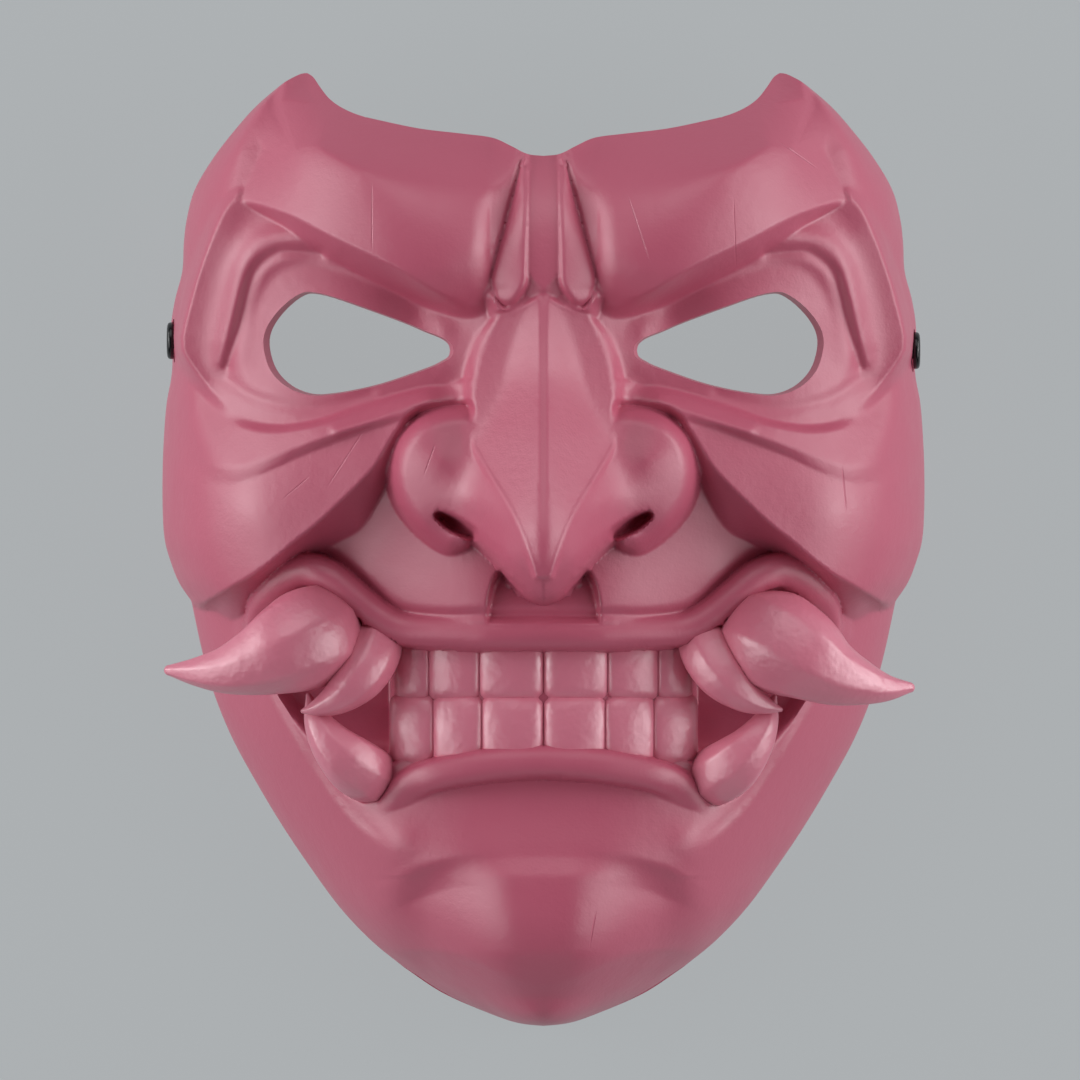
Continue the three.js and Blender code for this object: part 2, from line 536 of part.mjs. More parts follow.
// Delaunay triangles of scattered points, by inserting them one by one
function delaunay(points) {
  const far = 1e4;
  const all = [...points, [-far, -far], [far, -far], [0, far]];
  const n = points.length;
  const circle = (a, b, c) => {
    const [ax, ay] = all[a];
    const [bx, by] = [all[b][0] - ax, all[b][1] - ay];
    const [cx, cy] = [all[c][0] - ax, all[c][1] - ay];
    const d = 2 * (bx * cy - by * cx);
    const ux = (cy * (bx * bx + by * by) - by * (cx * cx + cy * cy)) / d;
    const uy = (bx * (cx * cx + cy * cy) - cx * (bx * bx + by * by)) / d;
    return { corners: [a, b, c], x: ax + ux, y: ay + uy, r2: ux * ux + uy * uy };
  };
  let triangles = [circle(n, n + 1, n + 2)];
  points.forEach(([x, y], p) => {
    const border = new Map();
    const kept = [];
    for (const triangle of triangles) {
      if ((x - triangle.x) ** 2 + (y - triangle.y) ** 2 >= triangle.r2) {
        kept.push(triangle);
        continue;
      }
      const [a, b, c] = triangle.corners;
      for (const [u, v] of [[a, b], [b, c], [c, a]]) {
        if (!border.delete(`${v},${u}`)) border.set(`${u},${v}`, [u, v]);
      }
    }
    triangles = kept;
    for (const [u, v] of border.values()) triangles.push(circle(u, v, p));
  });
  return triangles.map((t) => t.corners).filter((corners) => corners.every((c) => c < n));
}

// A closed block over an outline: its top follows one height, its underside another
function block(outline, inner, top, bottom) {
  const points = [...outline, ...inner];
  const rim = outline.length;
  const cells = delaunay(points.map(([x, y], i) => {
    const jitter = i < rim ? 0 : 1e-4;
    return [x + jitter * Math.sin(7 * i), y + jitter * Math.cos(5 * i)];
  })).filter((corners) => {
    const x = (points[corners[0]][0] + points[corners[1]][0] + points[corners[2]][0]) / 3;
    const y = (points[corners[0]][1] + points[corners[1]][1] + points[corners[2]][1]) / 3;
    return depthInside(x, y, outline) > 0;
  });
  const vertices = [];
  const index = [];
  for (const [x, y] of points) vertices.push(x, y, top(x, y));
  for (const [x, y] of outline) vertices.push(x, y, bottom(x, y));
  for (const cell of cells) index.push(...cell);
  const base = points.length;
  for (let i = 0; i < rim; i += 1) {
    const j = (i + 1) % rim;
    index.push(base + i, base + j, j, base + i, j, i);
  }
  const under = THREE.ShapeUtils.triangulateShape(outline.map(([x, y]) => new THREE.Vector2(x, y)), []);
  for (const [a, b, c] of under) index.push(base + a, base + c, base + b);
  const geometry = new THREE.BufferGeometry();
  geometry.setAttribute('position', new THREE.Float32BufferAttribute(vertices, 3));
  geometry.setIndex(index);
  return geometry;
}

// The whole outline, anticlockwise from the chin, from the right half's
function wholeOutline(step) {
  const right = [...paces(SIDE_EDGE, step), ...paces(TOP_EDGE, step).slice(1)].map(({ x, y }) => [x, y]);
  const left = right.slice(1, -1).reverse().map(([x, y]) => [-x, y]);
  return [...right, ...left];
}

// The outline moved in by a distance, point for point, without the points that come too near to it
function moveIn(outline, distance) {
  const count = outline.length;
  const moved = outline.map(([x, y], i) => {
    const [ax, ay] = outline[(i + count - 1) % count];
    const [bx, by] = outline[(i + 1) % count];
    const length = Math.hypot(bx - ax, by - ay);
    return [x - (distance * (by - ay)) / length, y + (distance * (bx - ax)) / length];
  });
  return moved.filter(([x, y]) => depthInside(x, y, outline) > 0.9 * distance);
}

function rows(outline, insets, scatter, gap) {
  for (const inset of insets) {
    for (const [x, y] of moveIn(outline, inset)) scatter.add(x, y, Math.min(0.7 * inset, gap));
  }
}

function grid(step, scatter, allowed) {
  for (let j = 0; j * step * 0.866 < 240; j += 1) {
    for (let i = 0; i * step < 96; i += 1) {
      const x = (i + (j % 2) / 2) * step;
      const y = -118 + j * step * 0.866;
      if (!allowed(x, y)) continue;
      scatter.add(x, y, step * 0.72);
      if (x > 0) scatter.add(-x, y, step * 0.72);
    }
  }
}

// Front of the mask: rows beside the outline, both sides of every carved edge, then an even scatter
function creased(x, y, left) {
  const [dx, dy] = [left[0] * CREASE_REACH, left[1] * CREASE_REACH];
  return Math.abs(face(x + dx, y + dy) + face(x - dx, y - dy) - 2 * face(x, y)) > LEAST_CREASE;
}

function frontBlock() {
  const outline = wholeOutline(STEP_OUTLINE);
  const scatter = new Scatter(STEP_INSIDE);
  outline.forEach(([x, y]) => scatter.add(x, y, 0));
  rows(outline, OUTER_ROWS.slice(0, 2), scatter, CLOSEST_POINTS);
  const nearEdge = OUTER_ROWS[1] + CLOSEST_POINTS;
  for (const { line, offsets } of CARVING.flatMap((feature) => feature.lines).reverse()) {
    const outward = -turn(line);
    for (const { x, y, left } of paces(line, STEP_CARVING)) {
      for (const offset of offsets(x, y)) {
        const px = x + left[0] * offset * outward;
        const py = y + left[1] * offset * outward;
        if (px < 0 || depthInside(px, py, outline) < nearEdge || !creased(px, py, left)) continue;
        scatter.add(px, py, CLOSEST_POINTS);
        scatter.add(-px, py, CLOSEST_POINTS);
      }
    }
  }
  rows(outline, OUTER_ROWS.slice(2), scatter, 2);
  grid(STEP_FACE, scatter, (x, y) => depthInside(x, y, outline) > 2);
  const inner = scatter.points.slice(outline.length);
  return block(outline, inner, face, (x, y) => rimHeight(y));
}

// 1 for a line that runs anticlockwise round what it encloses, -1 for a clockwise one
function turn(line) {
  return Math.sign(THREE.ShapeUtils.area(line.map(([x, y]) => ({ x, y })))) || 1;
}

// Inside of the mask: the face seen through a ball, so that it is plainer and the wall is never thin
function insideSurface() {
  const columns = 61;
  const lines = 149;
  const outline = wholeOutline(STEP_OUTLINE);
  const at = (heights, i, j) => heights[clamp(j, 0, lines - 1) * columns + clamp(Math.abs(i), 0, columns - 1)];
  const place = (i, j) => [i * INSIDE_CELL, (j - (lines - 1) / 2) * INSIDE_CELL];
  const ball = (heights, radius, sign) => {
    const reach = Math.floor(radius / INSIDE_CELL);
    const result = [];
    for (let j = 0; j < lines; j += 1) {
      for (let i = 0; i < columns; i += 1) {
        let best = -sign * Infinity;
        for (let dj = -reach; dj <= reach; dj += 1) {
          for (let di = -reach; di <= reach; di += 1) {
            const across2 = (di * di + dj * dj) * INSIDE_CELL ** 2;
            if (across2 > radius * radius) continue;
            const z = at(heights, i + di, j + dj) + sign * Math.sqrt(radius * radius - across2);
            best = sign > 0 ? Math.max(best, z) : Math.min(best, z);
          }
        }
        result.push(best);
      }
    }
    return result;
  };
  const raw = [];
  for (let j = 0; j < lines; j += 1) {
    for (let i = 0; i < columns; i += 1) {
      const [x, y] = place(i, j);
      const above = x < HORN_ROOT_X && y > topEdgeY(x) - 0.5;
      const within = above || depthInside(x, y, outline) > 0;
      raw.push(within ? face(x, above ? topEdgeY(x) - 0.5 : y) : NO_MATERIAL);
    }
  }
  const inside = ball(ball(raw, INSIDE_BALL, -1), INSIDE_BALL - WALL, 1);
  return (x, y) => {
    const u = Math.abs(x) / INSIDE_CELL;
    const v = y / INSIDE_CELL + (lines - 1) / 2;
    const [i, j] = [Math.floor(u), Math.floor(v)];
    const [s, t] = [u - i, v - j];
    return (at(inside, i, j) * (1 - s) + at(inside, i + 1, j) * s) * (1 - t)
      + (at(inside, i, j + 1) * (1 - s) + at(inside, i + 1, j + 1) * s) * t;
  };
}

// The hollow: its outline is the mask's, moved in by the wall, and open at the top of the forehead
function insideBlock() {
  const surface = insideSurface();
  const side = paces(SIDE_EDGE, STEP_OUTLINE)
    .map(({ x, y, left }) => [x + left[0] * WALL, y + left[1] * WALL])
    .filter(([x, y]) => x > 2 && y < HORN_ROOT_Y && depthInside(x, y, HALF_OUTLINE) > 0.9 * Math.min(WALL, x));
  const top = TOP_EDGE.filter((p, i) => i % 3 === 0 && p[0] > 2 && p[0] < HORN_ROOT_X).map(([x, y]) => [x, y + OPEN_TOP]);
  const right = [...side, ...top];
  const outline = [
    [0, CHIN_EDGE[0][1] + WALL], ...right, [0, TOP_EDGE.at(-1)[1] + OPEN_TOP],
    ...right.map(([x, y]) => [-x, y]).reverse()];
  const scatter = new Scatter(STEP_INSIDE);
  outline.forEach(([x, y]) => scatter.add(x, y, 0));
  const count = scatter.points.length;
  rows(outline, INNER_ROWS, scatter, 2);
  grid(STEP_INSIDE, scatter, (x, y) => depthInside(x, y, outline) > 4);
  const lowest = (x, y) => {
    let z = surface(x, y);
    for (let angle = 0; angle < 2 * Math.PI; angle += Math.PI / 4) {
      z = Math.min(z, surface(x + INSIDE_REACH * Math.cos(angle), y + INSIDE_REACH * Math.sin(angle)));
    }
    return z;
  };
  const ceiling = (x, y) => {
    const margin = clamp(depthInside(x, y, outline) / 6, 0, 1);
    return Math.max(surface(x, y) + (lowest(x, y) - surface(x, y)) * margin, rimHeight(y) + 1);
  };
  return block(outline, scatter.points.slice(count), ceiling, always(-5));
}

// Rings of equal count joined into a closed skin, with a fan over each end
function loft(rings) {
  const count = rings[0].length;
  const vertices = rings.flat(2);
  const index = [];
  for (let r = 1; r < rings.length; r += 1) {
    for (let k = 0; k < count; k += 1) {
      const a = (r - 1) * count + k;
      const b = (r - 1) * count + ((k + 1) % count);
      index.push(a, b, b + count, a, b + count, a + count);
    }
  }
  const middle = (ring) => [0, 1, 2].map((k) => ring.reduce((sum, p) => sum + p[k], 0) / count);
  const first = vertices.length / 3;
  vertices.push(...middle(rings[0]), ...middle(rings.at(-1)));
  const end = (rings.length - 1) * count;
  for (let k = 0; k < count; k += 1) {
    const next = (k + 1) % count;
    index.push(first, next, k, first + 1, end + k, end + next);
  }
  const geometry = new THREE.BufferGeometry();
  geometry.setAttribute('position', new THREE.Float32BufferAttribute(vertices, 3));
  geometry.setIndex(index);
  return geometry;
}

// Eye hole: a tapered plug, wider at the front on its outer side
function eyePlug(side) {
  const back = curve([[25, 48.5], [30, 52.5], [35, 54.7], [45, 58.3], [53, 61.2], [57, 60.8], [63, 56], [65.5, 51],
    [64, 45], [60, 41], [55, 38.8], [50, 39], [40, 41.2], [30, 44.7], [25, 48.5]], 2).slice(0, -1).reverse();
  const middle = [46, 50];
  const ring = (z, grow, slide) => back.map(([x, y]) => [
    side * (x + grow * (x - middle[0]) + slide * ease((x - middle[0]) / 16)),
    y + grow * (y - middle[1]), z]);
  const spread = [[EYE_BACK_Z, 0.2, -1], [46, 0, 0], [EYE_FRONT_Z, 0.35, 9]];
  const rings = spread.map(([z, grow, slide]) => ring(z, grow, slide));
  return loft(side > 0 ? rings : rings.map((points) => [...points].reverse()));
}

// Tooth: a rounded block with a pillowed face, its front sheared to follow the arch of the row
function tooth(side, [x0, x1], [y0, y1]) {
  const x = (x0 + x1) / 2;
  const y = (y0 + y1) / 2;
  const profile = [[-TOOTH_DEPTH, 1], [-1.6, 1], [0, 0.66]];
  const front = TOOTH_FRONT - TOOTH_ARCH * x * x;
  const rings = profile.map(([z, scale]) => {
    const points = [];
    for (let k = 0; k < TOOTH_SIDES; k += 1) {
      const angle = (2 * Math.PI * (k + 0.5)) / TOOTH_SIDES;
      const [c, s] = [Math.cos(angle), Math.sin(angle)];
      const dx = (Math.sign(c) * Math.abs(c) ** TOOTH_SQUARE * scale * (x1 - x0)) / 2;
      const dy = (Math.sign(s) * Math.abs(s) ** TOOTH_SQUARE * scale * (y1 - y0)) / 2;
      points.push([side * (x + dx), y + dy, front + z - 2 * TOOTH_ARCH * x * dx]);
    }
    return side > 0 ? points : points.reverse();
  });
  return loft(rings);
}

// Tusk: rings along a curved line whose columns are x, y, z, width and thickness
function tusk(points, sides) {
  const route = curve(points, 2);
  const rings = route.map((p, i) => {
    const a = route[Math.max(i - 1, 0)];
    const b = route[Math.min(i + 1, route.length - 1)];
    const ahead = new THREE.Vector3(b[0] - a[0], b[1] - a[1], b[2] - a[2]).normalize();
    const across = new THREE.Vector3(0, 0, 1).cross(ahead).normalize();
    const out = ahead.clone().cross(across);
    const ring = [];
    for (let k = 0; k < sides; k += 1) {
      const angle = (2 * Math.PI * k) / sides;
      const point = new THREE.Vector3(p[0], p[1], p[2])
        .addScaledVector(across, p[3] * Math.cos(angle))
        .addScaledVector(out, p[4] * Math.sin(angle));
      ring.push([point.x, point.y, point.z]);
    }
    return ring;
  });
  return loft(rings);
}

const TUSKS = [
  // large tusks, the right one hanging lower
  [[-52, -19.6, 38, 9.5, 9], [-58.5, -21.4, 53, 12.2, 11], [-70, -25.8, 60.5, 9.6, 9], [-82, -29.2, 61.3, 5, 4.8],
    [-92, -29, 60, 0.9, 0.9]],
  [[51, -19.6, 38, 9, 9], [58, -22.6, 53, 12, 11], [69, -28.2, 60.5, 9.4, 9], [80.5, -32.7, 61.3, 4.9, 4.8],
    [90.2, -33.2, 60, 0.9, 0.9]],
  // upper canines
  [[-38.5, -17.5, 44, 4.6, 6], [-42.5, -26.5, 54, 6, 6.5], [-50, -35, 56, 4.2, 4.6], [-58.4, -39, 55.5, 0.7, 0.7]],
  [[37.5, -17.5, 44, 4.6, 6], [41.5, -26.5, 54, 6, 6.5], [49.4, -34.8, 56, 4.2, 4.6], [57.7, -38.7, 55.5, 0.7, 0.7]],
  // lower tusks
  [[-42.5, -56.5, 30, 5, 5], [-45, -54, 45, 7.2, 7.2], [-51, -47, 51.5, 6.8, 7], [-57, -34.5, 50.5, 1, 1]],
  [[42, -57, 30, 5, 5], [44.4, -54.6, 45, 7.4, 7.4], [50, -47.5, 51.5, 6.8, 7], [56, -34.8, 50.5, 1, 1]],
];

// A disc or rod along X
function rod(x0, x1, radius, y, z, bevel = 0) {
  const outer = Math.abs(x1) > Math.abs(x0) ? x1 : x0;
  const inner = outer === x1 ? x0 : x1;
  const sign = Math.sign(outer);
  const ends = [[inner, radius], [outer - sign * bevel, radius], [outer, radius - bevel]];
  const stations = bevel > 0 ? ends : [ends[0], [outer, radius]];
  const rings = stations.map(([x, r]) => {
    const ring = [];
    for (let k = 0; k < STUD_SIDES; k += 1) {
      const angle = (2 * Math.PI * k) / STUD_SIDES;
      ring.push([x, y + r * Math.cos(angle), z + r * Math.sin(angle)]);
    }
    return sign > 0 ? ring : ring.reverse();
  });
  return loft(rings);
}

const wasm = await Module();
wasm.setup();

function solid(geometry) {
  const merged = mergeVertices(geometry, 1e-4);
  return new wasm.Manifold(new wasm.Mesh({
    numProp: 3,
    vertProperties: new Float32Array(merged.attributes.position.array),
    triVerts: new Uint32Array(merged.index.array),
  }));
}

function meshOf(name, manifold, material) {
  const { vertProperties, triVerts } = manifold.getMesh();
  const geometry = new THREE.BufferGeometry();
  geometry.setAttribute('position', new THREE.BufferAttribute(new Float32Array(vertProperties), 3));
  geometry.setIndex(new THREE.BufferAttribute(new Uint32Array(triVerts), 1));
  geometry.computeVertexNormals();
  const mesh = new THREE.Mesh(geometry, material);
  mesh.name = name;
  return mesh;
}

const resin = new THREE.MeshStandardMaterial({ name: 'rose satin resin', color: '#af5d71', roughness: 0.45, metalness: 0 });
const blackSteel = new THREE.MeshStandardMaterial({ name: 'black enamelled steel', color: '#15161a', roughness: 0.25,
  metalness: 0 });

function castMask() {
  let mask = solid(frontBlock());
  for (const side of [-1, 1]) {
    for (const range of UPPER_TEETH) mask = mask.add(solid(tooth(side, range, UPPER_TOOTH_Y)));
    for (const range of LOWER_TEETH) mask = mask.add(solid(tooth(side, range, LOWER_TOOTH_Y)));
  }
  for (const points of TUSKS) mask = mask.add(solid(tusk(points, 8)));
  mask = mask.subtract(solid(insideBlock()));
  for (const side of [-1, 1]) {
    const y = side < 0 ? STUD_Y.left : STUD_Y.right;
    const seat = rod(side * (STUD_SEAT_X - STUD_CLEARANCE), side * 100, STUD_HEAD_RADIUS + 0.8, y, STUD_Z);
    const hole = rod(side * 70, side * 100, STUD_SHANK_RADIUS + STUD_CLEARANCE, y, STUD_Z);
    mask = mask.subtract(solid(eyePlug(side))).subtract(solid(seat)).subtract(solid(hole));
  }
  return mask;
}

function stud(side) {
  const y = side < 0 ? STUD_Y.left : STUD_Y.right;
  const head = rod(side * STUD_SEAT_X, side * (STUD_SEAT_X + STUD_HEAD_THICKNESS), STUD_HEAD_RADIUS, y, STUD_Z, 0.6);
  const shank = rod(side * (STUD_SEAT_X - STUD_SHANK_LENGTH), side * (STUD_SEAT_X + 0.5), STUD_SHANK_RADIUS, y, STUD_Z);
  return solid(head).add(solid(shank));
}

const part = new THREE.Group();
part.add(
  meshOf('mask', castMask(), resin),
  meshOf('strap_stud_left', stud(-1), blackSteel),
  meshOf('strap_stud_right', stud(1), blackSteel));

export default part;
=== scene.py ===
"""Samurai demon mask, cast in resin and lacquered rose red, lying on its back rim with its face up.

+X is the viewer's right, +Y is up the face and +Z comes out of it. Sizes are in millimetres until a
mesh is made. The camera stands straight above the face."""
import math

import bpy
import numpy as np
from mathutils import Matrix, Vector
from mathutils.geometry import delaunay_2d_cdt


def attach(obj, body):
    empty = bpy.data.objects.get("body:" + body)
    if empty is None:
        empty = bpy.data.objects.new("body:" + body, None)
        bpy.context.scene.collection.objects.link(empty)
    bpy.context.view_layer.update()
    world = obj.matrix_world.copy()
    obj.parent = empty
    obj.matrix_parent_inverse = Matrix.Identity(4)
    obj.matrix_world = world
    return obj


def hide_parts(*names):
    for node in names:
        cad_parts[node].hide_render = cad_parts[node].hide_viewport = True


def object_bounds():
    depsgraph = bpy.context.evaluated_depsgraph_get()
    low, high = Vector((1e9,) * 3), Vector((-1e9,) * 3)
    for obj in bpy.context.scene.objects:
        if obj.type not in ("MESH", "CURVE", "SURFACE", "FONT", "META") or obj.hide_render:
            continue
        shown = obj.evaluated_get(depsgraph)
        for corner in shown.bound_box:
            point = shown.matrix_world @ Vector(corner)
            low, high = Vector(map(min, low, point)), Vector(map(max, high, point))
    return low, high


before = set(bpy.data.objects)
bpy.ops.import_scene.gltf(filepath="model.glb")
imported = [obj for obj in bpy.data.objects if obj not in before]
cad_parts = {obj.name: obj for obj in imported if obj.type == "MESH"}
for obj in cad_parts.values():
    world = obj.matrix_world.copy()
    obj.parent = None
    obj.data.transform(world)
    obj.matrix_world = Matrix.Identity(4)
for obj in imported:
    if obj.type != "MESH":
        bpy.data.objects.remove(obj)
cad_low, cad_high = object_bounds()
cad_low, cad_high = list(cad_low), list(cad_high)

# Mask shell.
# The face is one shell of polyurethane resin, cast in a silicone mould and open behind. The master was
# carved plate by plate, so its height over the rim is built up here in that order, from the chin and the
# cheeks to the nose and the lips, and each plate takes over from the ones before it.


def ease(t):
    """From 0 to 1 with a level start and end."""
    t = np.clip(t, 0, 1)
    return t * t * (3 - 2 * t)


def smooth_min(a, b, reach):
    """The lower of two heights, rounded where they cross."""
    h = np.clip(0.5 + 0.5 * (b - a) / reach, 0, 1)
    return b + (a - b) * h - reach * h * (1 - h)


def curve(points, steps=6):
    """A smooth line through every one of the points, which may have any number of columns."""
    p = np.array(points, float)
    ends = np.vstack([2 * p[0] - p[1], p, 2 * p[-1] - p[-2]])
    line = []
    for i in range(len(p) - 1):
        a, b, c, d = ends[i:i + 4]
        t = np.arange(steps)[:, None] / steps
        cubic = (3 * b - a - 3 * c + d) * t**3
        line.append((2 * b + (c - a) * t + (2 * a - 5 * b + 4 * c - d) * t**2 + cubic) / 2)
    line.append(p[-1:])
    return np.vstack(line)


TABLE_STEPS = 8


def table(points):
    """A smooth function of one number, through points."""
    line = curve(points, TABLE_STEPS)
    return lambda t: np.interp(t, line[:, 0], line[:, 1])


def nearest(x, y, line):
    """Distance to a line, positive on its left, and the line's other columns at the nearest place."""
    best = np.full(x.shape, 1e9)
    side = np.ones(x.shape)
    extra = np.zeros(x.shape + (line.shape[1] - 2,))
    for a, b in zip(line[:-1], line[1:]):
        dx, dy = b[0] - a[0], b[1] - a[1]
        if dx == 0 and dy == 0:
            continue
        t = np.clip(((x - a[0]) * dx + (y - a[1]) * dy) / (dx * dx + dy * dy), 0, 1)
        ex, ey = x - a[0] - t * dx, y - a[1] - t * dy
        d = np.hypot(ex, ey)
        hit = d < best
        best = np.where(hit, d, best)
        side = np.where(hit, np.where(dx * ey - dy * ex >= 0, 1.0, -1.0), side)
        if extra.shape[-1]:
            extra = np.where(hit[..., None], a[2:] + t[..., None] * (b[2:] - a[2:]), extra)
    return best * side, extra


def depth_inside(x, y, outline):
    """How far inside a closed outline, negative outside."""
    ring = np.vstack([outline, outline[:1]])
    distance, _ = nearest(x, y, ring[:, :2])
    odd = np.zeros(x.shape, bool)
    for a, b in zip(ring[:-1], ring[1:]):
        if a[1] == b[1]:
            continue
        crossing = (a[1] > y) != (b[1] > y)
        odd ^= crossing & (x < (b[0] - a[0]) * (y - a[1]) / (b[1] - a[1]) + a[0])
    return np.where(odd, np.abs(distance), -np.abs(distance))


def spots(points):
    """A thin plate bent through spots given as x, y and height."""
    p = np.array(points, float)
    n = len(p)

    def bend(r2):
        return np.where(r2 > 0, r2 * np.log(np.maximum(r2, 1e-12)), 0)

    r2 = (p[:, None, 0] - p[None, :, 0])**2 + (p[:, None, 1] - p[None, :, 1])**2
    flat = np.column_stack([np.ones(n), p[:, :2]])
    system = np.zeros((n + 3, n + 3))
    system[:n, :n] = bend(r2)
    system[:n, n:] = flat
    system[n:, :n] = flat.T
    weights = np.linalg.solve(system, np.concatenate([p[:, 2], np.zeros(3)]))

    def height(x, y):
        z = weights[n] + weights[n + 1] * x + weights[n + 2] * y
        for (px, py, _), weight in zip(p, weights):
            z = z + weight * bend((x - px)**2 + (y - py)**2)
        return z

    return height


def mirrored(points):
    """The points, and those off the middle once more on the other side."""
    return points + [[-q[0]] + list(q[1:]) for q in points if q[0] != 0]


# Outline of the right half in millimetres, from the chin round to the horn, and back along the
# forehead's edge. The rim behind it lies flat up to the temples and rises from there to the horns.
CHIN_EDGE = curve([(0, -116), (7, -115.3), (15, -112.5), (25, -108), (34, -102)])
JAW_EDGE = curve([
    (34, -102), (42, -95.5), (50, -87), (58, -76), (64, -67), (70, -57), (76, -46), (80.5, -35),
    (83.3, -25), (86, -12.5)])
CHEEK_EDGE = curve([
    (86, -12.5), (89, -8), (91, -3), (92.5, 2.5), (93, 10), (93, 20), (92.6, 29), (92, 36), (90.9, 42),
    (90.6, 47), (91, 54), (90, 61), (88.2, 68), (87.8, 75), (87, 81), (85, 88), (80.5, 95.5), (75, 102.5),
    (70, 108), (64, 113), (59.5, 115.6), (57.5, 116)])
TOP_EDGE = curve([
    (57.5, 116), (56, 115), (54.3, 112.5), (52, 109.6), (49, 107.4), (45, 105.6), (40, 104.3),
    (30, 102.2), (20, 101), (12.5, 100), (8, 98), (4, 96), (0, 95.5)])
SIDE_EDGE = np.vstack([CHIN_EDGE, JAW_EDGE[1:], CHEEK_EDGE[1:]])
HALF_OUTLINE = np.vstack([SIDE_EDGE, TOP_EDGE[1:]])
rim_rise = table([(-120, 0), (0, 0), (60, 0), (75, 3), (90, 11), (104, 21), (116.2, 31), (120, 33)])
# A plate's wall is nowhere wider than this
WIDEST_WALL = 9
# Lines where two planes of the carving meet, with how far outside the line each edge of the step lies
creases = []
# How high the side's foot stands over the rim, how square its shoulder is, and how softly the face
# bends down into it
SIDE_FOOT = 1.5
SIDE_SQUARE = 4
SIDE_BLEND = 3


def half_width(y):
    return np.maximum(np.interp(y, SIDE_EDGE[:, 1], SIDE_EDGE[:, 0]), 1)


def rim_height(y):
    return np.maximum(rim_rise(y), 0)


def only_near(feature, outline, margin):
    """The feature, worked out only for points that its outline comes near to."""
    x0, y0 = outline[:, :2].min(axis=0) - margin
    x1, y1 = outline[:, :2].max(axis=0) + margin

    def carve(x, y, z):
        here = (x > x0) & (x < x1) & (y > y0) & (y < y1)
        z = z.copy()
        z[here] = feature(x[here], y[here], z[here])
        return z

    return carve


def at_place(size, x, y):
    """A size that is one number, or a function of the place on the face."""
    return size(x, y) if callable(size) else size + 0 * x


def plate(outline, height, wall, soft=0):
    """A plate with its own height inside an outline, and a wall that falls to what lies under it. The
    wall's edges are sharp creases where soft is 0, and rounded where it is 1."""
    outline = np.vstack(outline) if isinstance(outline, list) else outline
    if not soft:
        creases.append((outline, (0, wall)))

    def carve(x, y, z):
        share = np.clip(1 + depth_inside(x, y, outline) / at_place(wall, x, y), 0, 1)
        share = share + (ease(share) - share) * at_place(soft, x, y)
        return z + (height(x, y, z) - z) * share

    return only_near(carve, outline, WIDEST_WALL)


def ridge(points, rise, width):
    """A soft ridge along a line, or a groove where the rise is negative."""
    line = curve(points)

    def carve(x, y, z):
        distance, _ = nearest(x, y, line)
        return z + rise * np.exp(-(distance / width)**2)

    return only_near(carve, line, 3.5 * width)


def roll(points, radius, roundness):
    """A round bead along a line whose third column is the height of its top, and the fourth its share
    of the radius."""
    line = curve(points)

    def carve(x, y, z):
        distance, at = nearest(x, y, line)
        reach = radius * at[..., 1]
        t = np.clip(np.abs(distance) / reach, 0, 1)
        bead = at[..., 0] - roundness * reach * (1 - np.sqrt(1 - t**2))
        return np.maximum(z, np.where(np.abs(distance) < reach, bead, -1e3))

    return only_near(carve, line, 1.3 * radius)


def rounded_off(surface, height):
    """A surface that bends down to the mask's side from a height that it can't pass."""

    def bent(x, y):
        t = np.clip(x, 0, half_width(y)) / half_width(y)
        low = rim_height(y)
        side = low + SIDE_FOOT + (height - low) * np.sqrt(np.clip(1 - t**SIDE_SQUARE, 0, 1))
        return smooth_min(surface(x, y), side, SIDE_BLEND)

    return bent


# Head: the egg that everything is carved from, with its height on the face's middle line, and how full
# and how steep it is beside that line
middle_height = table([
    (-120, 0), (-116.5, 5), (-115, 38), (-108, 46), (-101, 53), (-96, 56), (-88, 57.5), (-75, 57),
    (-60, 55), (-40, 55), (-20, 57), (0, 60), (30, 62), (60, 66), (80, 70), (90, 68), (96, 62), (105, 52),
    (116, 40)])
head_full = table([
    (-120, 2.0), (-100, 2.1), (-60, 2.8), (-20, 2.8), (0, 2.6), (40, 2.6), (80, 2.4), (120, 2.2)])
head_edge = table([
    (-120, 0.4), (-100, 0.5), (-60, 0.62), (-20, 0.62), (-8, 0.58), (20, 0.5), (60, 0.5), (120, 0.6)])


def head(x, y):
    t = np.clip(x / half_width(y), 0, 1)
    low = rim_height(y)
    return low + (middle_height(y) - low) * (1 - t**head_full(y))**head_edge(y)


# Chin: a boss between two flanks that fall back, scooped under its lower edge. Its figures are how far
# the boss stands out, how far the flanks fall back, and how steep the scoop is.
chin_top = table([(0, -74.7), (10, -75), (20, -76.3), (27, -78), (36, -82), (60, -96)])
CHIN_SCOOP = curve([
    (62, -97), (48, -100), (42, -99.8), (37, -98.6), (33, -97.4), (28, -97.1), (22, -98), (17, -99.6),
    (12, -101.8), (7, -104), (0, -106)])
CHIN_BOSS = 1.6
CHIN_FLANK = 5.6
SCOOP_SLOPE = 0.55


def chin(x, y, z):
    below = chin_top(x) - y
    beside = 1 - ease((x - 27) / 18)
    boss = CHIN_BOSS * ease((below + 1.0) / 6.0)
    flank = -CHIN_FLANK * ease((x - 6) / 24) * ease((below + 3) / 9) * (1 - ease((x - 31) / 20))
    distance, _ = nearest(x, y, CHIN_SCOOP)
    under = np.clip(distance, 0, 14) * (y < -90)
    return z + (boss + flank) * beside - SCOOP_SLOPE * under * (0.3 + 0.7 * ease(x / 16))


